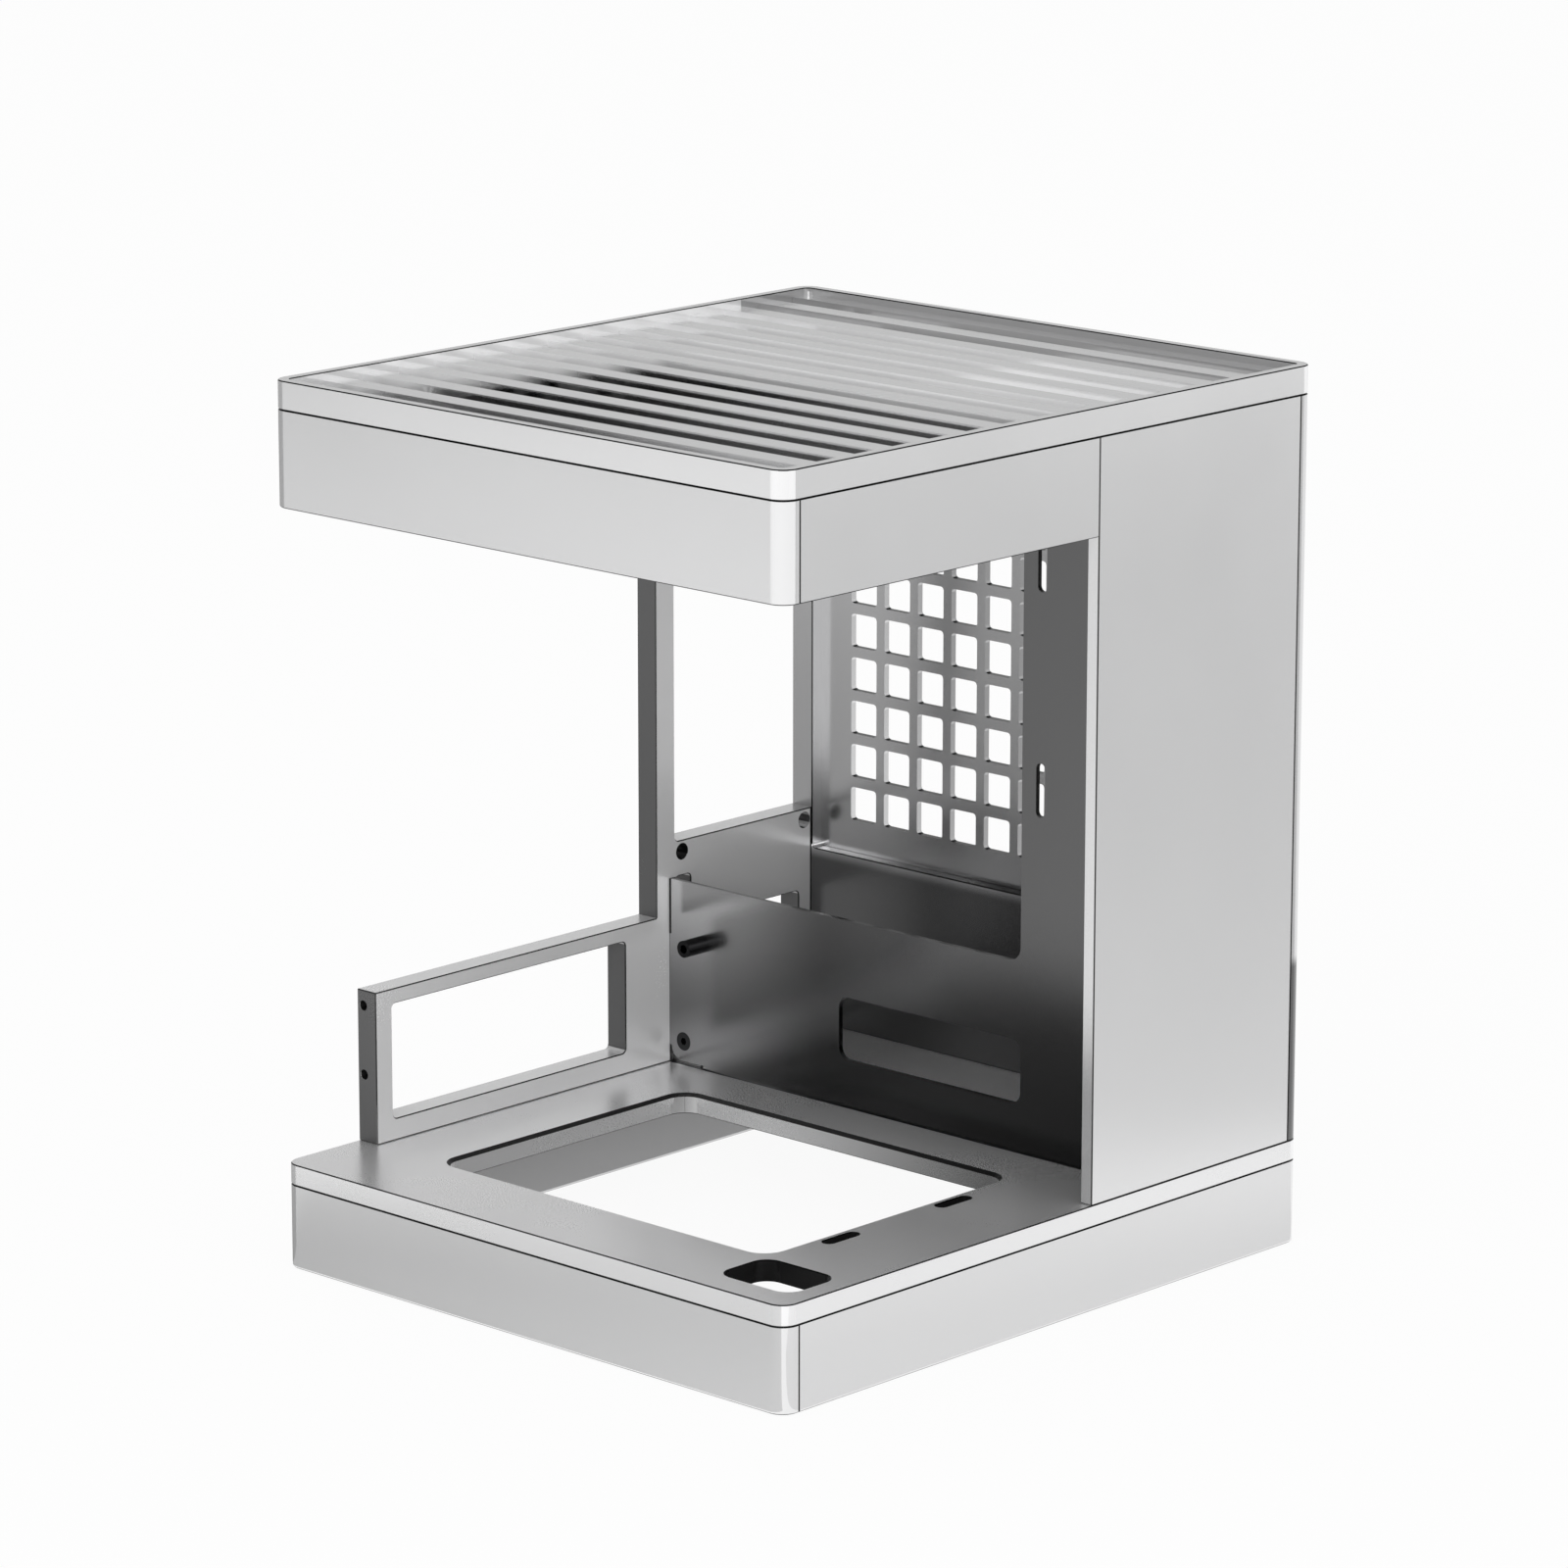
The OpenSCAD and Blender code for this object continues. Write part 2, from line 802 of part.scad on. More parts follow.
// Window cut through the left frame, given by its two corners
module frame_window(y0, z0, y1, z1) {
    translate([-body_w / 2, (y0 + y1) / 2, (z0 + z1) / 2])
        rotate([90, 0, 90])
            chamfered_cut(y1 - y0, z1 - z0, window_r, frame_t, seam_c);
    translate([-x_frame, (y0 + y1) / 2, (z0 + z1) / 2])
        rotate([90, 0, -90])
            chamfered_cut(y1 - y0, z1 - z0, window_r, frame_t, seam_c);
}

// Fine chamfers along the open edges of the left frame
module frame_edges(x0) {
    z_arm = z_bay + arm_h;
    edge_y(-x_frame, nose_y, y_in, z_bay);
    edge_x(x0, -x_frame, nose_y, z_bay);
    edge_x(x0, -x_frame, nose_y, z_arm);
    edge_z(-x_frame, nose_y, z_bay, z_arm);
    edge_z(-x_frame, y_in, z_bay, z_bay + upper_window_z);
    for (x = [x0, -x_frame]) {
        edge_y(x, nose_y, post_y, z_arm);
        edge_z(x, post_y, z_arm, z_fascia);
    }
}

// Milled frame on the left side of the bay
module left_side_frame() {
    x0 = -body_w / 2;
    color(silver)
        difference() {
            union() {
                span([x0, nose_y, z_bay], [-x_frame, y_in, z_bay + arm_h]);
                span([x0, post_y, z_bay], [-x_frame, y_in, z_lid]);
            }
            frame_window(arm_window_y, rear_window_z, arm_window_y + arm_window_l,
                z_bay + arm_h - arm_bar);
            frame_window(post_back, rear_window_z, y_in - rear_bar, rear_window_z + rear_window_h);
            frame_window(post_back, rear_window_z, post_back + step_l,
                rear_window_z + rear_window_h + step_h);
            frame_window(post_back, z_bay + upper_window_z, y_in + past, z_fascia);
            for (y = [post_back + bar_hole_in, y_in - bar_hole_in])
                translate([x0 - eps, y, z_bay + upper_window_z - bar_hole_drop])
                    rotate([0, 90, 0])
                        cylinder(d = bar_hole_d, h = frame_t + 2 * eps, $fn = small_fn);
            for (s = [-1, 1])
                translate([nose_x, nose_y - eps, nose_z + s * nose_pitch / 2])
                    rotate([-90, 0, 0])
                        cylinder(d = nose_hole_d, h = nose_hole_depth, $fn = small_fn);
            span([x0 - 1, post_y - 1, z_fascia], [-x_in, lap_end, z_lid + 1]);
            all_seams();
            seam_post(x0, y_in);
            seam_post(x0, nose_y);
            frame_edges(x0);
            bracket_taps();
            deck_screw_holes();
            rear_screw_holes();
            at_lap_screws()
                translate([0, 0, -eps])
                    cylinder(d = clear_d, h = frame_t, $fn = small_fn);
        }
}

// Left fascia strip, lapped onto the frame at its back end
module left_fascia() {
    color(silver)
        difference() {
            span([-body_w / 2, -y_in, z_fascia], [-x_in, lap_end, z_lid]);
            all_seams();
            seam_post(-body_w / 2, -y_in);
            seam_post(-body_w / 2, lap_end);
            edge_y(-x_in, -y_in, post_y, z_fascia);
            bracket_taps();
            at_lap_screws()
                cylinder(d = tap_d, h = lap_l + end_room, $fn = small_fn);
        }
}

// Front plate under the lid
module front_fascia() {
    color(silver)
        difference() {
            intersection() {
                outline(z_fascia, z_lid);
                span([-body_w, -body_d, z_fascia], [body_w, -y_in, z_lid]);
            }
            all_seams();
            for (sx = [-1, 1])
                seam_post(sx * body_w / 2, -y_in);
            bracket_taps();
        }
}

// Right fascia strip, in line with the side panel
module right_fascia() {
    color(silver)
        difference() {
            span([x_in, -y_in, z_fascia], [body_w / 2, panel_y, z_lid]);
            all_seams();
            seam_post(body_w / 2, -y_in);
            seam_post(body_w / 2, panel_y);
            edge_y(x_in, -y_in, panel_y, z_fascia);
            bracket_taps();
        }
}

// Right side panel from the deck to the lid
module right_side_panel() {
    color(silver)
        difference() {
            span([x_in, panel_y, z_bay], [body_w / 2, y_in, z_lid]);
            seam_ring(z_bay);
            seam_ring(z_lid);
            seam_post(body_w / 2, panel_y);
            seam_post(body_w / 2, y_in);
            edge_z(x_in, panel_y, z_bay, z_fascia);
            edge_z(x_in, y_in, z_bay, z_lid);
            edge_x(x_in, body_w / 2, panel_y, z_bay);
            edge_y(x_in, panel_y, y_in, z_bay);
            bracket_taps();
        }
}

// Square hole field of the grille, drawn flat and centred
module grille_field() {
    for (i = [0 : grille_nx - 1], k = [0 : grille_nz - 1])
        translate([(i - (grille_nx - 1) / 2) * grille_pitch, (k - (grille_nz - 1) / 2) * grille_pitch])
            round_rect(grille_hole, grille_hole, grille_r, 8);
}

// Rear plate with its pocket and the square-hole grille
module rear_grille_plate() {
    color(silver)
        difference() {
            intersection() {
                outline(z_bay, z_lid);
                span([-body_w, y_in, z_bay], [body_w, body_d, z_lid]);
            }
            translate([field_x, body_d / 2 - grille_t, field_z + field_h / 2])
                rotate([90, 0, 0])
                    chamfered_cut(pocket_w, pocket_h, pocket_r, plate_t - grille_t, seam_c, 0);
            edge_x(-x_frame, x_in, y_in, z_bay);
            translate([field_x, body_d / 2 + 1, field_z + field_h / 2])
                rotate([90, 0, 0])
                    linear_extrude(grille_t + 2)
                        grille_field();
            seam_ring(z_bay);
            seam_ring(z_lid);
            for (sx = [-1, 1])
                seam_post(sx * body_w / 2, y_in);
            bracket_taps();
            deck_screw_holes();
            rear_screw_holes();
        }
}

// Lid: a shallow tray with a raised rim and slots from rim to rim
module slatted_lid() {
    iw = body_w - 2 * rim_t;
    id = body_d - 2 * rim_t;
    ir = max(corner_r - rim_t, 0.5);
    color(silver)
        difference() {
            outline(z_lid, body_h);
            translate([0, 0, z_floor])
                linear_extrude(lid_recess + 1)
                    round_rect(iw, id, ir);
            translate([0, 0, z_lid - 1])
                linear_extrude(z_floor - slat_t - z_lid + 1)
                    round_rect(iw, id, ir);
            for (i = [0 : slots_n - 1])
                translate([0, (i - (slots_n - 1) / 2) * slat_pitch, z_floor - slat_t / 2])
                    cube([iw, gap_w, slat_t + 1], center = true);
            seam_ring(z_lid);
            seam_ring(body_h);
            at_pins()
                translate([0, 0, -eps])
                    cylinder(d = pin_stub_d + thread_gap, h = slat_t - pin_skin + eps, $fn = small_fn);
        }
}

// Places of the lid pins, on the underside of the slats
module at_pins() {
    for (p = [[-x_in, -1], [x_in, -1], [x_in, 1], [-x_frame, 1]])
        translate([p[0] - sign(p[0]) * pin_in, p[1] * (y_in - pin_in), z_floor - slat_t])
            children();
}

// Four pins that hang from the lid into the corner brackets
module lid_pins() {
    color(dark_steel)
        at_pins() {
            cylinder(d = pin_stub_d, h = slat_t - pin_skin - thread_gap, $fn = small_fn);
            translate([0, 0, -collar_h])
                cylinder(d = collar_d, h = collar_h, $fn = small_fn);
            translate([0, 0, -pin_l])
                cylinder(d = pin_d, h = pin_l, $fn = round_fn);
        }
}

// Places of the three board standoffs on the divider face
module at_standoffs() {
    for (p = [[0, 0], [board_hole_x, 0], [board_hole_x, board_hole_z]])
        translate([board_x + p[0], divider_y, z_bay + board_z + p[1]])
            rotate([90, 0, 0])
                children();
}

// Screws that hold the divider to the brackets behind it, heads flush in front
module at_divider_screws() {
    at_divider_brackets()
        translate([0, -divider_t, -leg_hole])
            rotate([-90, 0, 0])
                children();
}

// Flat outline of the divider in X and Z
module divider_outline() {
    left = -x_frame + band_gap;
    h = z_bay + band_h;
    difference() {
        union() {
            translate([left, z_bay + divider_gap])
                square([x_in - left, band_h - divider_gap]);
            translate([strip_x, z_bay + divider_gap])
                square([x_in - strip_x, divider_top - z_bay - divider_gap]);
            translate([strip_x - band_r, h - eps])
                square([band_r + eps, band_r + eps]);
            translate([-x_frame, z_bay + divider_lift + band_r])
                square([band_gap + eps, band_h * tab_share - band_r]);
        }
        translate([strip_x - band_r, h + band_r])
            circle(r = band_r, $fn = round_fn);
        translate([-x_frame - 1, z_bay - 1])
            square([x_frame + board_x + 1, divider_lift + 1]);
        difference() {
            translate([-x_frame - 1, z_bay])
                square([band_gap + band_r + 1, divider_lift + band_r]);
            translate([left + band_r, z_bay + divider_lift + band_r])
                circle(r = band_r, $fn = round_fn);
        }
        translate([pass_x, z_bay + pass_z + pass_h / 2])
            round_rect(pass_w, pass_h, pass_r);
        translate([slot_x, z_bay + short_slot_z + short_slot_l / 2])
            obround(slot_w, short_slot_l);
        translate([slot_x, (z_bay + long_slot_z + divider_top - long_slot_end) / 2])
            obround(slot_w, divider_top - long_slot_end - z_bay - long_slot_z);
    }
}

// Sheet that parts the bay, with its band, strip, window and slots
module divider_plate() {
    color(grey_sheet)
        difference() {
            translate([0, y_divider, 0])
                rotate([90, 0, 0])
                    linear_extrude(divider_t)
                        divider_outline();
            at_standoffs()
                translate([0, 0, -divider_t - 1])
                    cylinder(d = stub_d + thread_gap, h = divider_t + 2, $fn = small_fn);
            at_divider_screws()
                flat_hole(divider_t + eps, divider_t);
        }
}

// Round threaded standoffs for the main board
module board_standoffs() {
    color(dark_steel)
        at_standoffs()
            difference() {
                union() {
                    cylinder(d = standoff_d, h = standoff_l, $fn = round_fn);
                    translate([0, 0, -divider_t])
                        cylinder(d = stub_d, h = divider_t + eps, $fn = small_fn);
                }
                translate([0, 0, 1])
                    cylinder(d = standoff_bore, h = standoff_l, $fn = small_fn);
            }
}

// Raised-head screws through the divider
module divider_screws() {
    color(dark_steel)
        at_divider_screws()
            flat_screw(divider_t + angle_t + grip / 2);
}

// Equal angle brackets under the deck, along the panel and behind the divider
module angle_brackets() {
    color(silver) {
        at_skirt_brackets()
            angle_bracket();
        at_panel_brackets()
            angle_bracket();
        at_divider_brackets()
            angle_bracket();
    }
}

// Corner brackets under the lid
module top_corner_brackets() {
    color(silver)
        at_top_corners()
            top_corner_bracket();
}

// Flat strap inside the seam between the right fascia and the side panel
module seam_strap() {
    color(silver)
        difference() {
            span([x_in - angle_t, panel_y - strap_l / 2, strap_z - strap_h / 2],
                [x_in, panel_y + strap_l / 2, strap_z + strap_h / 2]);
            at_strap_screws()
                translate([0, 0, -eps])
                    cylinder(d = clear_d, h = angle_t + 2 * eps, $fn = small_fn);
        }
}

// Short raised-head screws of all the brackets
module bracket_screws() {
    color(dark_steel) {
        at_skirt_brackets() {
            screw_up();
            screw_wall();
        }
        at_panel_brackets() {
            screw_up();
            screw_wall();
        }
        at_divider_brackets()
            screw_up();
        at_top_corners()
            top_legs()
                round_screw(angle_t + grip);
        at_strap_screws()
            round_screw(angle_t + grip);
    }
}

// Countersunk screws of the deck and the rear plate
module plate_screws() {
    color(dark_steel) {
        at_deck_screws()
            flat_screw(deck_t + long_grip);
        at_rear_screws()
            flat_screw(plate_t + long_grip);
    }
}

// Screws through the lap between the left frame and its fascia
module lap_screws() {
    color(dark_steel)
        at_lap_screws()
            round_screw(lap_l);
}

base_front_skirt();
base_left_skirt();
base_right_skirt();
base_rear_skirt();
deck_plate();
left_side_frame();
left_fascia();
front_fascia();
right_fascia();
right_side_panel();
rear_grille_plate();
slatted_lid();
divider_plate();
board_standoffs();
divider_screws();
angle_brackets();
top_corner_brackets();
seam_strap();
bracket_screws();
plate_screws();
lap_screws();
lid_pins();
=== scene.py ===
import math

import bpy
import bmesh
from mathutils import Matrix, Vector


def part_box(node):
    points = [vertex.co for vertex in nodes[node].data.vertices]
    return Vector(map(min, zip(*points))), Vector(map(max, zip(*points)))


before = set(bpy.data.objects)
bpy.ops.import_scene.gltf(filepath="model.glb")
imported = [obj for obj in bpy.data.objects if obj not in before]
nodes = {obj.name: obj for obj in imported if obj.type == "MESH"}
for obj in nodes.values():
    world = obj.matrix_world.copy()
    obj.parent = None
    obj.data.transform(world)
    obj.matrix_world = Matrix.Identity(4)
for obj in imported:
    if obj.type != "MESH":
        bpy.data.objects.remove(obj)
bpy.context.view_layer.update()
print("loaded", len(nodes), "nodes")


def newObject(name, data):
    thing = bpy.data.objects.new(name, data)
    bpy.context.scene.collection.objects.link(thing)
    return thing


# camera, at the angle the picture was taken from
cameraSetup = {
    "place": (1.24305, -1.32837, 0.57669),
    "turn": 43.20158,  # degrees, as are the next two
    "rise": 13.65373,
    "roll": 0.0342,
    "lens": 156.21,
    "sensor": 36,
    "nearest": 0.1,
    "farthest": 20,
}


def makeCamera(setup):
    turn, rise, roll = (math.radians(setup[k]) for k in ("turn", "rise", "roll"))
    back = Vector((math.sin(turn) * math.cos(rise), -math.cos(turn) * math.cos(rise), math.sin(rise)))
    right = Vector((math.cos(turn), math.sin(turn), 0))
    up = back.cross(right)
    tiltedRight = right * math.cos(roll) + up * math.sin(roll)
    tiltedUp = up * math.cos(roll) - right * math.sin(roll)
    data = bpy.data.cameras.new("camera")
    data.lens = setup["lens"]
    data.sensor_width = setup["sensor"]
    data.clip_start = setup["nearest"]
    data.clip_end = setup["farthest"]
    camera = newObject("camera", data)
    turned = Matrix((tiltedRight, tiltedUp, back)).transposed().to_4x4()
    camera.matrix_world = Matrix.Translation(setup["place"]) @ turned
    bpy.context.scene.camera = camera


makeCamera(cameraSetup)
bpy.context.scene.view_settings.view_transform = "Standard"
print("camera placed")


# small helpers for node trees
def emptyTree(owner):
    owner.use_nodes = True
    owner.node_tree.nodes.clear()
    return owner.node_tree


def addNode(tree, kind, place=(0, 0), **values):
    # a value goes to the socket of its name, or else to the node's own setting
    node = tree.nodes.new(kind)
    node.location = place
    for name, value in values.items():
        if name in node.inputs:
            node.inputs[name].default_value = value
        else:
            setattr(node, name, value)
    return node


def mathNode(tree, operation, a, b=None, place=(0, 0)):
    node = addNode(tree, "ShaderNodeMath", place, operation=operation)
    for index, value in enumerate((a, b)):
        if value is None:
            continue
        if isinstance(value, (int, float)):
            node.inputs[index].default_value = value
        else:
            tree.links.new(value, node.inputs[index])
    return node.outputs[0]


def groupNode(tree, group, place, values):
    node = addNode(tree, "ShaderNodeGroup", place)
    node.node_tree = group
    for label, value in values.items():
        node.inputs[label].default_value = value
    return node


def newGroup(name, inputs, outputs):
    # inputs give their first value: three numbers make a vector socket, one a plain one
    group = bpy.data.node_groups.new(name, "ShaderNodeTree")
    for label, value in inputs.items():
        kind = "NodeSocketVector" if isinstance(value, tuple) else "NodeSocketFloat"
        socket = group.interface.new_socket(name=label, in_out="INPUT", socket_type=kind)
        socket.default_value = value
    for label in outputs:
        group.interface.new_socket(name=label, in_out="OUTPUT", socket_type="NodeSocketFloat")
    start = addNode(group, "NodeGroupInput", (-1700, 0))
    end = addNode(group, "NodeGroupOutput", (800, 0))
    return group, start, end


# bead blasting: a fine even grain, with the slow drift in gloss that a blasted plate has
def makeBlastGroup():
    group, start, end = newGroup(
        "blastedGrain",
        {"Grain": 2600.0, "Drift": 22.0, "Roughness": 0.3, "Roughness Swing": 0.06, "Shade Swing": 0.04},
        ("Roughness", "Height", "Shade"),
    )
    link = group.links.new
    where = addNode(group, "ShaderNodeTexCoord", (-900, -300))
    grain = addNode(group, "ShaderNodeTexNoise", (-500, -200), Detail=3.0, Roughness=0.6)
    drift = addNode(group, "ShaderNodeTexNoise", (-500, 200), Detail=2.0, Roughness=0.5)
    link(where.outputs["Object"], grain.inputs["Vector"])
    link(where.outputs["Object"], drift.inputs["Vector"])
    link(start.outputs["Grain"], grain.inputs["Scale"])
    link(start.outputs["Drift"], drift.inputs["Scale"])
    centredDrift = mathNode(group, "SUBTRACT", drift.outputs["Fac"], 0.5, (-300, 200))
    centredGrain = mathNode(group, "SUBTRACT", grain.outputs["Fac"], 0.5, (-300, -100))
    halfGrain = mathNode(group, "MULTIPLY", centredGrain, 0.5, (-150, -100))
    both = mathNode(group, "ADD", centredDrift, halfGrain, (0, 100))
    swing = mathNode(group, "MULTIPLY", both, start.outputs["Roughness Swing"], (150, 200))
    link(mathNode(group, "ADD", swing, start.outputs["Roughness"], (300, 200)), end.inputs["Roughness"])
    link(grain.outputs["Fac"], end.inputs["Height"])
    shade = mathNode(group, "MULTIPLY", both, start.outputs["Shade Swing"], (150, 0))
    link(mathNode(group, "ADD", shade, 1.0, (300, 0)), end.inputs["Shade"])
    return group


blastGroup = makeBlastGroup()


# where the plates' features lie, in metres
places = {
    "cornerFrom": 0.1006,  # the round upright corners lie past this, front and back
    "insideX": 0.0912,  # inner faces lie nearer the middle than these two
    "insideY": 0.1002,
    "slotsFrom": 0.0625,  # right of the deck opening
    "holeFrom": -0.0750,  # in front of it
    "rearWallFrom": 0.0195,  # the opening's rear wall
    "rearWallTo": 0.0225,
    "wallPaleAt": -0.03,
    "wallDarkAt": 0.085,
    "grilleFrom": 0.1036,  # the rear plate's square holes
    "rimX": 0.0944,  # what the lid's rim encloses
    "rimY": 0.1054,
    "rimLineFrom": 0.24965,
}

# limits on the parts of a face's normal
facings = {
    "diagonal": 0.7071,  # at 45 degrees no part is above this
    "diagonalRoom": 0.004,
    "along": 0.9,  # the face looks along that axis
    "halfway": 0.5,
    "level": 0.1,
    "bent": 0.996,  # it looks along none of the three
}


# painted shade: the fine chamfers are darkened so they read as dark lines, standing in for the shade and
# dark reflections along the edges
def makePaintedShadeGroup():
    group, start, end = newGroup(
        "paintedShadeAndMasks",
        {"Edge Painted Shade": 0.05, "Inside Painted Shade": 1.0, "End Painted Shade": 1.0, "Slot Painted Shade": 1.0, "Ledge Painted Shade": 1.0},
        ("Shade", "Walls", "Round", "Side", "Not Rear"),
    )
    link = group.links.new
    where = addNode(group, "ShaderNodeTexCoord", (-1500, 0))
    facing = addNode(group, "ShaderNodeSeparateXYZ", (-1300, 200))
    place = addNode(group, "ShaderNodeSeparateXYZ", (-1300, -300))
    link(where.outputs["Normal"], facing.inputs[0])
    link(where.outputs["Object"], place.inputs[0])

    def step(operation, a, b, at):
        return mathNode(group, operation, a, b, at)

    def dimmed(mask, socket, at):
        # 1 outside the mask, the socket's shade inside it
        less = step("SUBTRACT", 1.0, start.outputs[socket], (at[0], at[1] - 60))
        masked = step("MULTIPLY", mask, less, at)
        return step("SUBTRACT", 1.0, masked, (at[0] + 150, at[1]))

    nx, ny, nz = (step("ABSOLUTE", facing.outputs[i], None, (-1100, 350 - 120 * i)) for i in range(3))
    x, y = (step("ABSOLUTE", place.outputs[i], None, (-1100, -250 - 120 * i)) for i in range(2))

    # a chamfer looks halfway between two axes
    most = step("MAXIMUM", step("MAXIMUM", nx, ny, (-900, 300)), nz, (-750, 300))
    lean = step("SUBTRACT", most, facings["diagonal"], (-600, 300))
    off = step("ABSOLUTE", lean, None, (-450, 300))
    cut = step("LESS_THAN", off, facings["diagonalRoom"], (-300, 300))

    # the round upright corners pass through 45 degrees as well, and are kept out of the painted dark lines
    corner = step("GREATER_THAN", y, places["cornerFrom"], (-900, 100))
    upright = step("LESS_THAN", nz, facings["level"], (-900, 0))
    roundCorner = step("MULTIPLY", corner, upright, (-700, 50))
    keep = step("SUBTRACT", 1.0, roundCorner, (-550, 50))
    chamfer = step("MULTIPLY", cut, keep, (-100, 250))

    # a painted dark line along the top of the lid rim's inner faces too, standing in for a dark reflection
    # there
    nearTop = step("GREATER_THAN", place.outputs[2], places["rimLineFrom"], (-900, 500))
    steep = step("LESS_THAN", nz, facings["halfway"], (-900, 600))
    topLine = step("MULTIPLY", nearTop, steep, (-700, 550))
    withinX = step("LESS_THAN", x, places["rimX"], (-900, 700))
    withinY = step("LESS_THAN", y, places["rimY"], (-900, 800))
    within = step("MULTIPLY", withinX, withinY, (-700, 750))
    rimLine = step("MULTIPLY", topLine, within, (-500, 600))
    edge = dimmed(step("MAXIMUM", chamfer, rimLine, (0, 350)), "Edge Painted Shade", (100, 250))

    # the curve of an upright corner, which is polished smoother
    bent = step("LESS_THAN", most, facings["bent"], (-600, 850))
    turned = step("MULTIPLY", upright, bent, (-400, 850))

    # painted shade: inner faces are darkened, standing in for the shade inside the case
    insideX = step("LESS_THAN", x, places["insideX"], (-900, -250))
    insideY = step("LESS_THAN", y, places["insideY"], (-900, -350))
    inside = step("MULTIPLY", insideX, insideY, (-700, -300))
    paintedInnerShade = dimmed(inside, "Inside Painted Shade", (-500, -300))

    # painted shade on the walls of the small cut-outs beside and before the deck opening
    beside = step("GREATER_THAN", place.outputs[0], places["slotsFrom"], (-900, -450))
    before = step("LESS_THAN", place.outputs[1], places["holeFrom"], (-900, -550))
    cutOuts = step("MAXIMUM", beside, before, (-700, -500))

    # and on the rear wall of the opening, painted darker towards the right
    rearStart = step("GREATER_THAN", place.outputs[1], places["rearWallFrom"], (-1100, -620))
    rearEnd = step("LESS_THAN", place.outputs[1], places["rearWallTo"], (-1100, -700))
    behind = step("MULTIPLY", rearStart, rearEnd, (-900, -650))
    rising = addNode(group, "ShaderNodeMapRange", (-1100, -800))
    rising.inputs["From Min"].default_value = places["wallPaleAt"]
    rising.inputs["From Max"].default_value = places["wallDarkAt"]
    link(place.outputs[0], rising.inputs["Value"])
    behind = step("MULTIPLY", behind, rising.outputs["Result"], (-750, -650))
    standing = step("LESS_THAN", nz, facings["along"], (-700, -600))
    walls = step("MULTIPLY", inside, standing, (-550, -600))
    opened = step("MAXIMUM", cutOuts, behind, (-550, -500))
    paintedSlotShade = dimmed(step("MULTIPLY", opened, walls, (-400, -500)), "Slot Painted Shade", (-250, -500))

    # painted shade: faces that look to the front and the back are darkened, standing in for dark
    # reflections
    frontOrBackFacing = step("GREATER_THAN", ny, facings["along"], (-700, -700))
    ends = dimmed(frontOrBackFacing, "End Painted Shade", (-500, -700))

    # painted shade on the ledges in the small square holes
    upward = step("GREATER_THAN", facing.outputs[2], facings["along"], (-900, -850))
    inGrille = step("GREATER_THAN", place.outputs[1], places["grilleFrom"], (-900, -950))
    ledges = dimmed(step("MULTIPLY", upward, inGrille, (-700, -900)), "Ledge Painted Shade", (-500, -900))

    edgeShade = step("MULTIPLY", edge, paintedInnerShade, (300, 0))
    slotShade = step("MULTIPLY", paintedSlotShade, ends, (300, -300))
    both = step("MULTIPLY", edgeShade, slotShade, (450, -100))
    link(step("MULTIPLY", both, ledges, (580, -200)), end.inputs["Shade"])
    notRear = step("LESS_THAN", facing.outputs[1], facings["halfway"], (150, -600))
    link(notRear, end.inputs["Not Rear"])
    lidInner = step("MULTIPLY", within, notRear, (300, -550))
    lidStanding = step("LESS_THAN", nz, facings["along"], (300, -600))
    link(step("MULTIPLY", lidInner, lidStanding, (450, -600)), end.inputs["Walls"])
    link(turned, end.inputs["Round"])
    link(step("GREATER_THAN", nx, facings["along"], (300, -750)), end.inputs["Side"])
    return group


paintedShadeGroup = makePaintedShadeGroup()


# painted shade and light: a plate passes from one tone to another along one axis, standing in for the
# reflections that darken or lighten it
def makePaintedFadeGroup():
    group, start, end = newGroup(
        "paintedShadeFade",
        {"Axis": (0.0, 0.0, 0.0), "From": 0.0, "To": 0.1, "Far Shade": 0.5},
        ("Shade",),
    )
    link = group.links.new
    where = addNode(group, "ShaderNodeTexCoord", (-700, 0))
    along = addNode(group, "ShaderNodeVectorMath", (-500, 0), operation="DOT_PRODUCT")
    link(where.outputs["Object"], along.inputs[0])
    link(start.outputs["Axis"], along.inputs[1])
    ramp = addNode(group, "ShaderNodeMapRange", (-200, 0), interpolation_type="SMOOTHSTEP")
    link(along.outputs["Value"], ramp.inputs["Value"])
    link(start.outputs["From"], ramp.inputs["From Min"])
    link(start.outputs["To"], ramp.inputs["From Max"])
    ramp.inputs["To Min"].default_value = 1.0
    link(start.outputs["Far Shade"], ramp.inputs["To Max"])
    link(ramp.outputs["Result"], end.inputs["Shade"])
    return group


paintedFadeGroup = makePaintedFadeGroup()


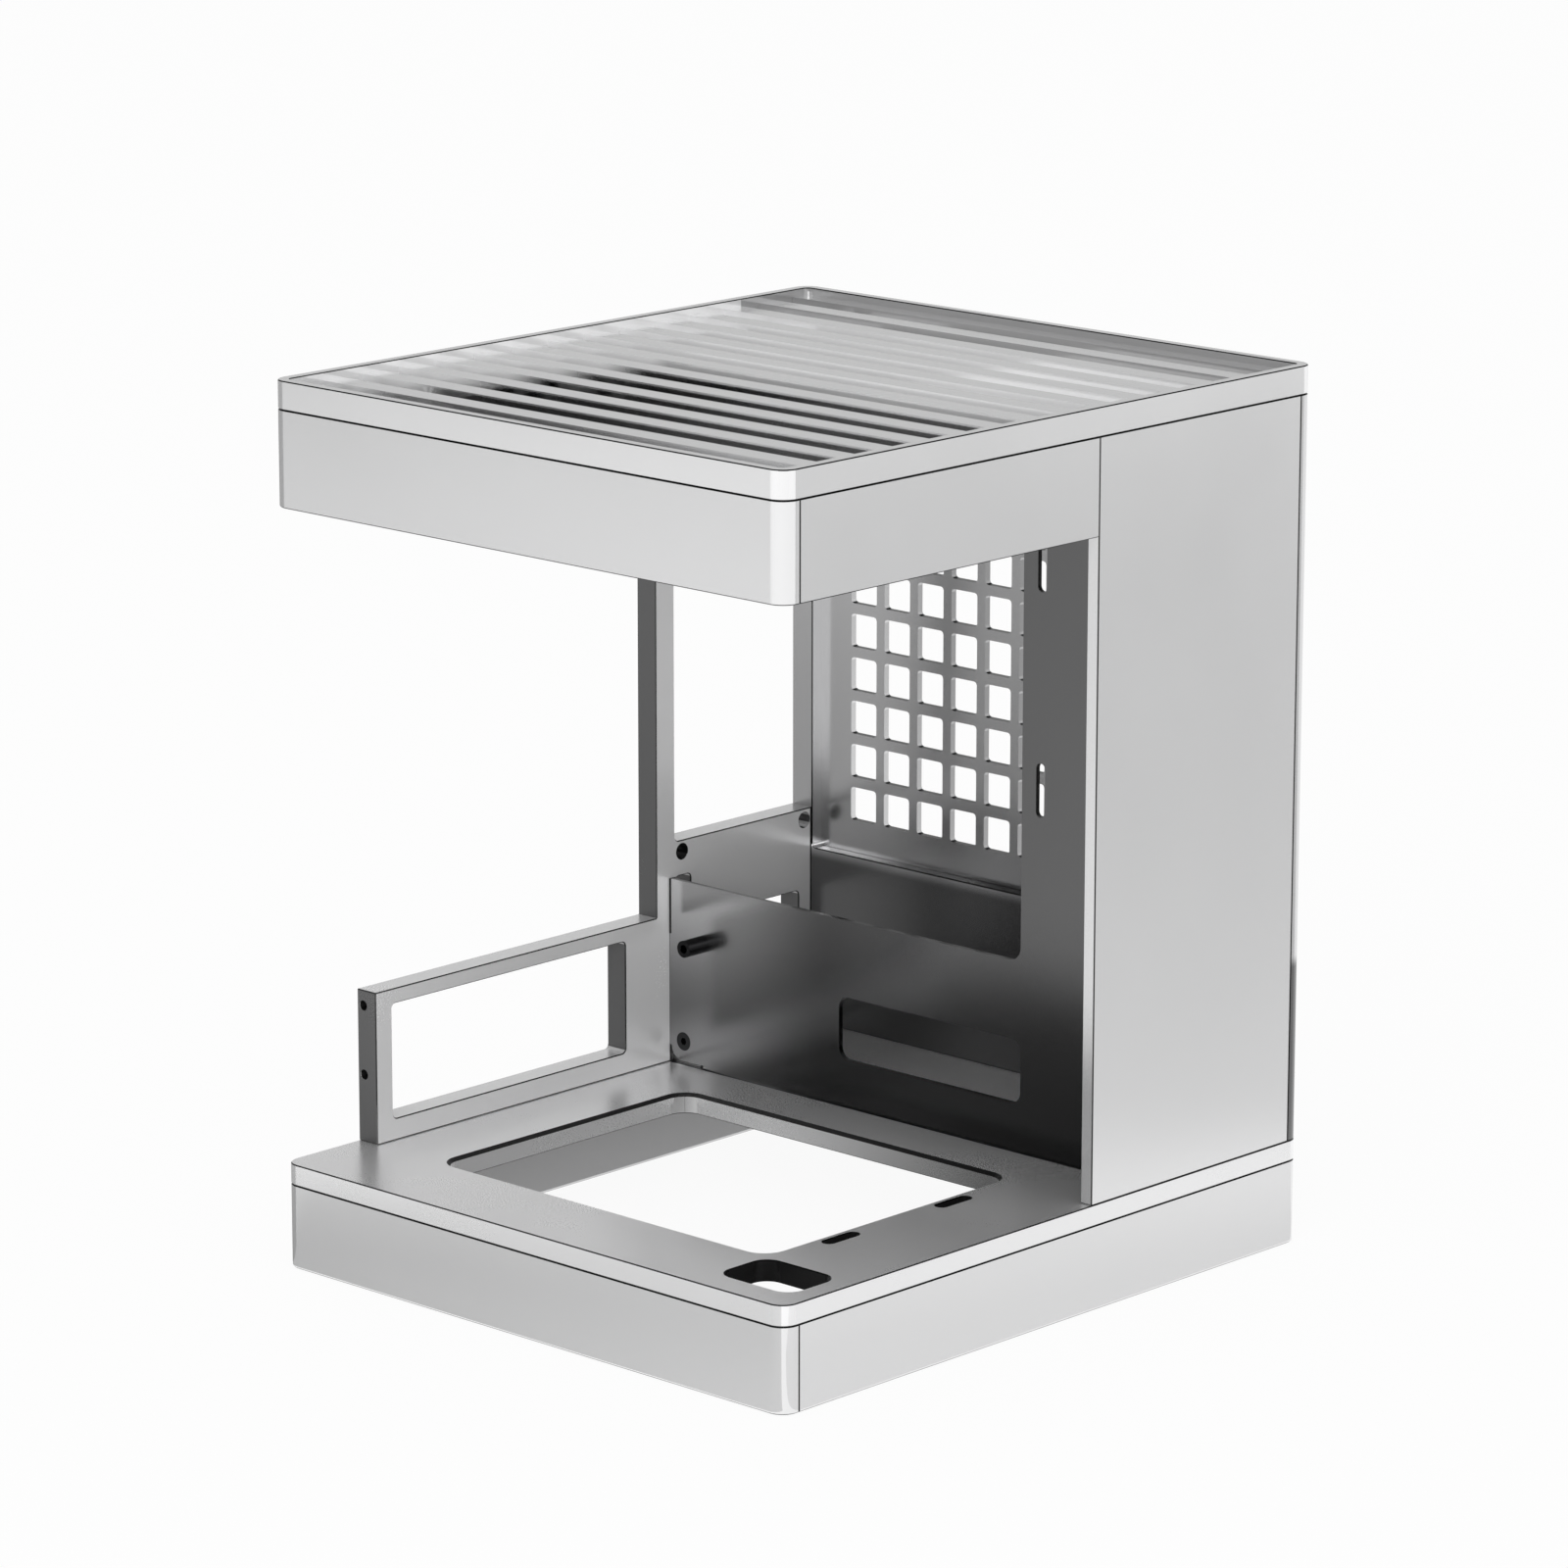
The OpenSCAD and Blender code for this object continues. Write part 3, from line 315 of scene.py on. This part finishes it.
# painted shade on the walls of bores and on the strips of metal hidden in a joint, each inside its own box
def makeBoxGroup():
    group, start, end = newGroup(
        "boxShade",
        {"Low": (0.0, 0.0, 0.0), "High": (0.0, 0.0, 0.0), "Box Shade": 0.05},
        ("Shade",),
    )
    link = group.links.new
    where = addNode(group, "ShaderNodeTexCoord", (-800, 0))
    here = where.outputs["Object"]
    # the room to the nearest of the six sides is above 0 inside the box
    least = None
    for height, upper, lower in ((200, here, start.outputs["Low"]), (-100, start.outputs["High"], here)):
        room = addNode(group, "ShaderNodeVectorMath", (-600, height), operation="SUBTRACT")
        link(upper, room.inputs[0])
        link(lower, room.inputs[1])
        parts = addNode(group, "ShaderNodeSeparateXYZ", (-450, height))
        link(room.outputs[0], parts.inputs[0])
        for side, part in enumerate(parts.outputs):
            if least is None:
                least = part
            else:
                least = mathNode(group, "MINIMUM", least, part, (-300 + 100 * side, height))
    inBox = mathNode(group, "GREATER_THAN", least, 0.0, (150, 0))
    less = mathNode(group, "SUBTRACT", 1.0, start.outputs["Box Shade"], (150, -150))
    dimming = mathNode(group, "MULTIPLY", inBox, less, (300, 0))
    link(mathNode(group, "SUBTRACT", 1.0, dimming, (450, 0)), end.inputs["Shade"])
    return group


boxGroup = makeBoxGroup()

# painted reflection on the lid's slot walls: less metallic behind and on the left so they read pale,
# mirror-like in front, and painted shade on the last slots
slotWalls = {
    "slant": (1.0, -0.3, 0.0),  # the line between pale and bare runs across this
    "leftFrom": -0.033,
    "leftTo": -0.053,
    "rearFrom": -0.018,
    "rearTo": 0.008,
    "paleMetallic": 0.38,
    "lastSlots": 0.0750,  # the slots past this lie in shade
    "lastShade": 0.5,
}


# painted reflection: metallic lowered on the pale slot walls, and painted shade on the last slots
def makeSlotGroup():
    group, start, end = newGroup(
        "slotWalls",
        {"Walls": 0.0, "Metallic": 0.8, "Pale Metallic": 0.3},
        ("Metallic", "Shade"),
    )
    link = group.links.new
    where = addNode(group, "ShaderNodeTexCoord", (-1100, 0))
    slant = addNode(group, "ShaderNodeVectorMath", (-900, 200), operation="DOT_PRODUCT")
    slant.inputs[1].default_value = slotWalls["slant"]
    link(where.outputs["Object"], slant.inputs[0])
    place = addNode(group, "ShaderNodeSeparateXYZ", (-900, -100))
    link(where.outputs["Object"], place.inputs[0])
    ramps = []
    for side, value, height in (("left", slant.outputs["Value"], 200), ("rear", place.outputs[1], -100)):
        ramp = addNode(group, "ShaderNodeMapRange", (-650, height), interpolation_type="SMOOTHSTEP")
        ramp.inputs["From Min"].default_value = slotWalls[side + "From"]
        ramp.inputs["From Max"].default_value = slotWalls[side + "To"]
        link(value, ramp.inputs["Value"])
        ramps.append(ramp.outputs["Result"])
    pale = mathNode(group, "MAXIMUM", ramps[0], ramps[1], (-400, 100))
    less = mathNode(group, "SUBTRACT", 1.0, start.outputs["Pale Metallic"], (-400, -100))
    paler = mathNode(group, "MULTIPLY", pale, less, (-250, 0))
    onWall = mathNode(group, "SUBTRACT", 1.0, paler, (-100, 0))
    change = mathNode(group, "SUBTRACT", onWall, start.outputs["Metallic"], (50, 0))
    change = mathNode(group, "MULTIPLY", change, start.outputs["Walls"], (200, 0))
    metallic = mathNode(group, "ADD", change, start.outputs["Metallic"], (350, 0))
    link(metallic, end.inputs["Metallic"])
    last = mathNode(group, "GREATER_THAN", place.outputs[1], slotWalls["lastSlots"], (-400, -300))
    last = mathNode(group, "MULTIPLY", last, start.outputs["Walls"], (-250, -300))
    last = mathNode(group, "MULTIPLY", last, 1.0 - slotWalls["lastShade"], (-100, -300))
    link(mathNode(group, "SUBTRACT", 1.0, last, (50, -300)), end.inputs["Shade"])
    return group


slotGroup = makeSlotGroup()

# what every metal has, unless its finish says otherwise
plainMetal = {
    "metallic": 0.8,
    "sideMetallic": None,  # of faces that look left or right, where it differs
    "edge": 0.05,  # painted shades: of chamfers, inner faces, front and back ends, cut-outs and ledges
    "inside": 1.0,
    "ends": 1.0,
    "slots": 1.0,
    "ledges": 1.0,
    "grain": 2600.0,
    "depth": 0.0000003,
    "bump": 0.15,
    "swing": 0.06,
    "shadeSwing": 0.025,
    "fades": (),  # painted shade fades, each with its axis, where it starts and ends, and its last shade
    "boxes": (),  # painted shade boxes, each with its two corners and its shade
    "slotWalls": False,
    "wallGloss": 0.0,
    "cornerGloss": 0.55,
}


def metalFinish(name, colour, roughness, **changes):
    look = {**plainMetal, **changes}
    material = bpy.data.materials.new(name)
    tree = emptyTree(material)
    link = tree.links.new
    out = addNode(tree, "ShaderNodeOutputMaterial", (600, 0))
    shader = addNode(tree, "ShaderNodeBsdfPrincipled", (300, 0), Metallic=look["metallic"])
    link(shader.outputs[0], out.inputs["Surface"])
    grain = groupNode(tree, blastGroup, (-300, 0), {
        "Grain": look["grain"],
        "Roughness": roughness,
        "Roughness Swing": look["swing"],
        "Shade Swing": look["shadeSwing"],
    })
    paintedShadeNode = groupNode(tree, paintedShadeGroup, (-300, 300), {
        "Edge Painted Shade": look["edge"],
        "Inside Painted Shade": look["inside"],
        "End Painted Shade": look["ends"],
        "Slot Painted Shade": look["slots"],
        "Ledge Painted Shade": look["ledges"],
    })

    # shade: the random grain tone times the painted shade of edges, fades and boxes
    shade = mathNode(tree, "MULTIPLY", grain.outputs["Shade"], paintedShadeNode.outputs["Shade"], (-120, 150))
    for index, (axis, near, far, farShade) in enumerate(look["fades"]):
        height = 300 + 120 * index
        fade = groupNode(tree, paintedFadeGroup, (-300, 550 + 220 * index), {
            "Axis": axis, "From": near, "To": far, "Far Shade": farShade,
        })
        # the painted fade leaves the face that looks to the rear even
        change = mathNode(tree, "SUBTRACT", fade.outputs["Shade"], 1.0, (-150, height))
        change = mathNode(tree, "MULTIPLY", change, paintedShadeNode.outputs["Not Rear"], (-100, height))
        change = mathNode(tree, "ADD", change, 1.0, (-60, height))
        shade = mathNode(tree, "MULTIPLY", shade, change, (-20, height))
    for index, (lowCorner, highCorner, boxShade) in enumerate(look["boxes"]):
        box = groupNode(tree, boxGroup, (-550, 550 - 220 * index), {
            "Low": lowCorner, "High": highCorner, "Box Shade": boxShade,
        })
        shade = mathNode(tree, "MULTIPLY", shade, box.outputs["Shade"], (-30, 420 + 60 * index))

    # metallic, where it changes over the piece
    if look["sideMetallic"] is not None:
        drop = look["metallic"] - look["sideMetallic"]
        less = mathNode(tree, "MULTIPLY", paintedShadeNode.outputs["Side"], drop, (0, 60))
        link(mathNode(tree, "SUBTRACT", look["metallic"], less, (120, 60)), shader.inputs["Metallic"])
    # painted reflection and shade on the lid's slot walls
    if look["slotWalls"]:
        walls = groupNode(tree, slotGroup, (-100, 0), {
            "Metallic": look["metallic"], "Pale Metallic": slotWalls["paleMetallic"],
        })
        link(paintedShadeNode.outputs["Walls"], walls.inputs["Walls"])
        link(walls.outputs["Metallic"], shader.inputs["Metallic"])
        shade = mathNode(tree, "MULTIPLY", shade, walls.outputs["Shade"], (0, 350))
    tint = addNode(tree, "ShaderNodeMix", (60, 200), data_type="RGBA", blend_type="MULTIPLY")
    tint.inputs["Factor"].default_value = 1.0
    tint.inputs[6].default_value = (*colour, 1.0)
    link(shade, tint.inputs[7])
    link(tint.outputs[2], shader.inputs["Base Color"])

    # roughness and grain
    gloss = mathNode(tree, "MULTIPLY", paintedShadeNode.outputs["Round"], look["cornerGloss"], (-100, -350))
    if look["wallGloss"]:
        onWalls = mathNode(tree, "MULTIPLY", paintedShadeNode.outputs["Walls"], look["wallGloss"], (-100, -500))
        gloss = mathNode(tree, "MAXIMUM", gloss, onWalls, (50, -400))
    rest = mathNode(tree, "SUBTRACT", 1.0, gloss, (50, -350))
    rough = mathNode(tree, "MULTIPLY", grain.outputs["Roughness"], rest, (180, -350))
    link(rough, shader.inputs["Roughness"])
    bump = addNode(tree, "ShaderNodeBump", (0, -200), Strength=look["bump"], Distance=look["depth"])
    link(grain.outputs["Height"], bump.inputs["Height"])
    link(bump.outputs[0], shader.inputs["Normal"])
    return material


# painted shade: bores and joints made dark, each a box with its shade
bores = {
    "skin": 0.0002,  # a box stops this far inside its bar's faces
    "barRows": (0.0453, 0.0951),
    "barHalf": 0.0027,
    "barHeights": (0.0893, 0.0948),
    "barShade": 0.06,
    "noseSides": (-0.0943, -0.0907),
    "noseDepth": 0.0055,
    "noseHeights": (0.031, 0.073),
    "noseShade": 0.03,
}
joints = {
    "frameSides": (-0.0877, -0.0873),
    "frameFoot": 0.028,
    "frameShade": 0.04,
    "deckLeft": -0.0876,
    "deckHeights": (0.0297, 0.0303),
    "deckShade": 0.03,
    "sheetSides": (-0.0900, 0.0900),
    "room": 0.0001,
    "behind": 0.0028,  # how far the joint reaches behind the divider
    "hidden": 0.0003,
    "topShade": 0.12,
}
dividerLow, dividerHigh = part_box("divider_plate")
sillHeight = max(point.co.z for point in nodes["divider_plate"].data.vertices if point.co.x < 0)
frameLow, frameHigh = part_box("left_side_frame")
barHoles = [
    (
        (frameLow[0] + bores["skin"], row - bores["barHalf"], bores["barHeights"][0]),
        (frameHigh[0] - bores["skin"], row + bores["barHalf"], bores["barHeights"][1]),
        bores["barShade"],
    )
    for row in bores["barRows"]
]
noseHoles = [(
    (bores["noseSides"][0], frameLow[1] + bores["skin"], bores["noseHeights"][0]),
    (bores["noseSides"][1], frameLow[1] + bores["noseDepth"], bores["noseHeights"][1]),
    bores["noseShade"],
)]
# painted shade on what shows in the narrow gap round the divider's foot and left edge
jointFront = dividerLow[1] - joints["room"]
jointBack = dividerHigh[1] + joints["behind"]
frameJoint = [(
    (joints["frameSides"][0], jointFront, joints["frameFoot"]),
    (joints["frameSides"][1], jointBack, sillHeight),
    joints["frameShade"],
)]
deckJoint = [(
    (joints["deckLeft"], jointFront - joints["hidden"], joints["deckHeights"][0]),
    (joints["sheetSides"][1], jointBack, joints["deckHeights"][1]),
    joints["deckShade"],
)]
# a painted dark line along the top of the divider's low band
topEdge = [(
    (joints["sheetSides"][0], dividerLow[1] + joints["room"], sillHeight - joints["hidden"]),
    (joints["sheetSides"][1], dividerHigh[1] + joints["room"], sillHeight + joints["room"]),
    joints["topShade"],
)]

alongX = (1, 0, 0)
alongZ = (0, 0, 1)
finishes = {
    # inside: painted shade on the inner faces of the fascias and skirts
    "wallPlate": metalFinish("wallPlate", (0.86, 0.86, 0.865), 0.22, inside=0.15),
    "skirtPlate": metalFinish("skirtPlate", (0.86, 0.86, 0.865), 0.22, inside=0.8),
    # slotWalls: painted reflection and shade on the lid's slot walls
    "lidPlate": metalFinish("lidPlate", (0.93, 0.93, 0.935), 0.20, slotWalls=True, wallGloss=0.6),
    "deckPlate": metalFinish(
        # slots: painted shade on the walls of the cut-outs round the deck opening
        "deckPlate", (0.97, 0.97, 0.975), 0.28, metallic=0.75, slots=0.05,
        # boxes: painted shade in the gap under the divider
        boxes=deckJoint,
    ),
    "frameBar": metalFinish(
        # ends: painted shade standing in for dark reflections on faces to the front and back
        "frameBar", (0.95, 0.95, 0.955), 0.26, metallic=0.65, sideMetallic=0.3, ends=0.18,
        # boxes: painted shade in the bores and in the gap beside the divider
        boxes=barHoles + noseHoles + frameJoint,
    ),
    "dividerSheet": metalFinish(
        "dividerSheet", (0.70, 0.70, 0.705), 0.22, metallic=1.0,
        # fades: painted shade, darker towards the right and towards the bottom
        fades=((alongX, -0.078, -0.022, 0.24), (alongZ, 0.092, 0.045, 0.35)),
        # boxes: painted dark line along the divider's top edge
        boxes=topEdge,
    ),
    "rearPlate": metalFinish(
        # ledges: painted shade in the small square holes
        "rearPlate", (0.72, 0.72, 0.725), 0.24, metallic=1.0, ledges=0.08,
        # fades: painted shade right of the left margin and below the band, and painted light back up at
        # the right edge
        fades=((alongX, -0.075, -0.03, 0.62), (alongX, 0.0875, 0.0905, 1.6), (alongZ, 0.084, 0.080, 0.28)),
    ),
    "bracketStock": metalFinish("bracketStock", (0.45, 0.45, 0.45), 0.30, metallic=1.0),
    "darkSteel": metalFinish("darkSteel", (0.03, 0.03, 0.031), 0.26, metallic=1.0, edge=1.0),
}

finishOf = {
    "base_front_skirt": "skirtPlate",
    "base_left_skirt": "skirtPlate",
    "base_right_skirt": "skirtPlate",
    "base_rear_skirt": "skirtPlate",
    "deck_plate": "deckPlate",
    "left_side_frame": "frameBar",
    "left_fascia": "wallPlate",
    "front_fascia": "wallPlate",
    "right_fascia": "wallPlate",
    "right_side_panel": "wallPlate",
    "rear_grille_plate": "rearPlate",
    "slatted_lid": "lidPlate",
    "divider_plate": "dividerSheet",
    "board_standoffs": "darkSteel",
    "divider_screws": "darkSteel",
    "angle_brackets": "bracketStock",
    "top_corner_brackets": "bracketStock",
    "seam_strap": "bracketStock",
    "bracket_screws": "darkSteel",
    "plate_screws": "darkSteel",
    "lap_screws": "darkSteel",
    "lid_pins": "bracketStock",
}

for name, piece in nodes.items():
    piece.data.materials.clear()
    piece.data.materials.append(finishes[finishOf[name]])
print("finishes given")


# floor and world
studio = {
    "floorSize": 8.0,
    "floorHeight": -0.0002,
    "floorColour": (0.85, 0.85, 0.85, 1),
    "floorWhite": 0.93,  # how far the floor is seen as plain white
    "worldLight": 0.8,
    "stripHeight": 0.0006,
    "leftHeight": 0.0004,
}
white = (1, 1, 1, 1)


def whiteFactor(tree, share=1.0):
    # camera, mirror and glass rays see plain white, and the rest see what is lit
    rays = addNode(tree, "ShaderNodeLightPath", (-600, 300)).outputs
    seen = mathNode(tree, "MAXIMUM", rays["Is Camera Ray"], rays["Is Glossy Ray"], (-400, 300))
    seen = mathNode(tree, "MAXIMUM", seen, rays["Is Transmission Ray"], (-250, 300))
    if share < 1:
        seen = mathNode(tree, "MULTIPLY", seen, share, (-100, 300))
    return seen


def whiteWhereSeen(tree, outKind, lit, plain, share=1.0):
    out = addNode(tree, outKind, (400, 0))
    mix = addNode(tree, "ShaderNodeMixShader", (200, 0))
    tree.links.new(whiteFactor(tree, share), mix.inputs[0])
    tree.links.new(lit.outputs[0], mix.inputs[1])
    tree.links.new(plain.outputs[0], mix.inputs[2])
    tree.links.new(mix.outputs[0], out.inputs["Surface"])


def makeWorld():
    world = bpy.data.worlds.new("studioWorld")
    bpy.context.scene.world = world
    tree = emptyTree(world)
    plain = addNode(tree, "ShaderNodeBackground", (0, 100), Color=white, Strength=1.0)
    lit = addNode(tree, "ShaderNodeBackground", (0, -100), Color=white, Strength=studio["worldLight"])
    whiteWhereSeen(tree, "ShaderNodeOutputWorld", lit, plain)


def makeFloor():
    mesh = bpy.data.meshes.new("floor")
    work = bmesh.new()
    bmesh.ops.create_grid(work, x_segments=4, y_segments=4, size=studio["floorSize"] / 2)
    work.to_mesh(mesh)
    work.free()
    floor = newObject("floor", mesh)
    floor.location = (0, 0, studio["floorHeight"])
    material = bpy.data.materials.new("paleFloor")
    tree = emptyTree(material)
    lit = addNode(tree, "ShaderNodeBsdfDiffuse", (0, -100), Color=studio["floorColour"])
    plain = addNode(tree, "ShaderNodeEmission", (0, 100), Color=white, Strength=1.0)
    whiteWhereSeen(tree, "ShaderNodeOutputMaterial", lit, plain, studio["floorWhite"])
    floor.data.materials.append(material)


def makeCard(name, corners, shades, faces=((0, 1, 2, 3),)):
    # a card that only mirror rays see, as a studio hangs beside bright metal
    mesh = bpy.data.meshes.new(name)
    mesh.from_pydata(corners, [], faces)
    shadeLayer = mesh.color_attributes.new("shade", "FLOAT_COLOR", "POINT")
    for index, shade in enumerate(shades):
        shadeLayer.data[index].color = (shade, shade, shade, 1)
    card = newObject(name, mesh)
    material = bpy.data.materials.new(name + "Paint")
    tree = emptyTree(material)
    out = addNode(tree, "ShaderNodeOutputMaterial", (300, 0))
    glow = addNode(tree, "ShaderNodeEmission", (0, 0))
    paint = addNode(tree, "ShaderNodeVertexColor", (-200, 0), layer_name="shade")
    tree.links.new(paint.outputs["Color"], glow.inputs["Color"])
    tree.links.new(glow.outputs[0], out.inputs["Surface"])
    mesh.materials.append(material)
    card.visible_camera = False
    card.visible_diffuse = False
    card.visible_shadow = False
    card.visible_transmission = False


def makeStrip(name, left, right, heading, rows):
    # a card on the floor, from the object's foot outwards
    points = []
    shades = []
    side = (heading[1], -heading[0])
    for away, spreadLeft, spreadRight, shadeLeft, shadeRight in rows:
        for start, spread in ((left, -spreadLeft), (right, spreadRight)):
            points.append((
                start[0] + heading[0] * away + side[0] * spread,
                start[1] + heading[1] * away + side[1] * spread,
                studio["stripHeight"],
            ))
        shades += [shadeLeft, shadeRight]
    faces = [(2 * i, 2 * i + 1, 2 * i + 3, 2 * i + 2) for i in range(len(rows) - 1)]
    makeCard(name, points, shades, faces)


def makeLamp(name, power, size, place, aim):
    data = bpy.data.lights.new(name, "AREA")
    data.shape = "RECTANGLE"
    data.size, data.size_y = size
    data.energy = power
    lamp = newObject(name, data)
    lamp.location = place
    lamp.rotation_euler = (Vector(aim) - Vector(place)).to_track_quat("-Z", "Y").to_euler()


# a mirrored ray from a front face runs front left and down, and from a right one rear right
# the rows of a strip: distance, spread left and right, shade left and right
frontStrip = {
    "left": (0.095, -0.1061),
    "right": (-0.095, -0.1061),
    "heading": (-0.685, -0.729),
    "rows": (
        (0.0, 0.0, 0.002, 0.62, 0.42),
        (0.02, 0.1, 0.002, 0.62, 0.42),
        (0.07, 0.2, 0.004, 0.68, 0.46),
        (0.105, 0.3, 0.01, 1.0, 0.90),
        (0.25, 0.3, 0.03, 0.92, 0.75),
        (0.9, 0.35, 0.2, 0.95, 0.66),
        (1.6, 0.4, 0.35, 0.95, 0.66),
    ),
}
leftFloor = {
    "corners": [
        (-0.0951, -0.1061, studio["leftHeight"]),
        (-1.55, -1.3, studio["leftHeight"]),
        (-2.6, -0.2, studio["leftHeight"]),
        (-2.6, 2.6, studio["leftHeight"]),
        (-1.8, 1.93, studio["leftHeight"]),
        (-0.0951, 0.1061, studio["leftHeight"]),
    ],
    "shades": (0.25, 0.25, 0.3, 0.3, 0.4, 0.4),
    "faces": [(0, 1, 2, 3, 4, 5)],
}
rightStrip = {
    "left": (0.0951, 0.11),
    "right": (0.0951, -0.1),
    "heading": (0.685, 0.729),
    "rows": (
        (0.0, 0.0, 0.0, 0.76, 0.76),
        (0.01, 0.01, 0.05, 0.76, 0.76),
        (0.09, 0.03, 0.1, 0.90, 0.90),
        (0.16, 0.05, 0.1, 0.66, 0.66),
        (0.5, 0.15, 0.2, 0.56, 0.56),
        (1.6, 0.3, 0.4, 0.50, 0.50),
    ),
}
# painted shadow: a dark card under the base, seen only in reflections, standing in for the floor's shade
# under the case
paintedShadowCard = {
    "corners": [
        (-0.091, -0.099, studio["stripHeight"]),
        (0.091, -0.099, studio["stripHeight"]),
        (0.091, 0.1, studio["stripHeight"]),
        (-0.091, 0.1, studio["stripHeight"]),
    ],
    "shades": (0.4, 0.02, 0.02, 0.4),
}
ceilingCard = {
    "corners": [(-2, -2, 1.1), (2, -2, 1.1), (2, 2, 1.1), (-2, 2, 1.1)],
    "shades": (0.2, 0.2, 0.2, 0.2),
}
backdropCard = {
    "corners": [
        (-1.9, -0.5, 0.1),
        (0.1, 1.9, 0.1),
        (0.1, 1.9, 0.8),
        (-1.9, -0.5, 0.8),
        (0.1, 1.9, 1.1),
        (-1.9, -0.5, 1.1),
    ],
    "shades": (0.56, 0.56, 0.48, 0.48, 0.05, 0.05),
    "faces": [(0, 1, 2, 3), (3, 2, 4, 5)],
}
frontLeftCard = {
    "corners": [(-1.9, -0.5, 0.02), (-0.5, -1.9, 0.02), (-0.5, -1.9, 1.1), (-1.9, -0.5, 1.1)],
    "shades": (0.06, 0.06, 0.0, 0.0),
}
keyLamp = {
    "power": 12,
    "size": (0.9, 1.3),
    "place": (0.9, -1.6, 1.0),
    "aim": (0, 0, 0.12),
}

makeWorld()
makeFloor()
makeStrip("frontStrip", **frontStrip)
makeCard("leftFloor", **leftFloor)
makeStrip("rightStrip", **rightStrip)
makeCard("paintedShadowCard", **paintedShadowCard)
makeCard("ceilingCard", **ceilingCard)
makeCard("backdropCard", **backdropCard)
makeCard("frontLeftCard", **frontLeftCard)
makeLamp("keyLamp", **keyLamp)
print("studio lit")
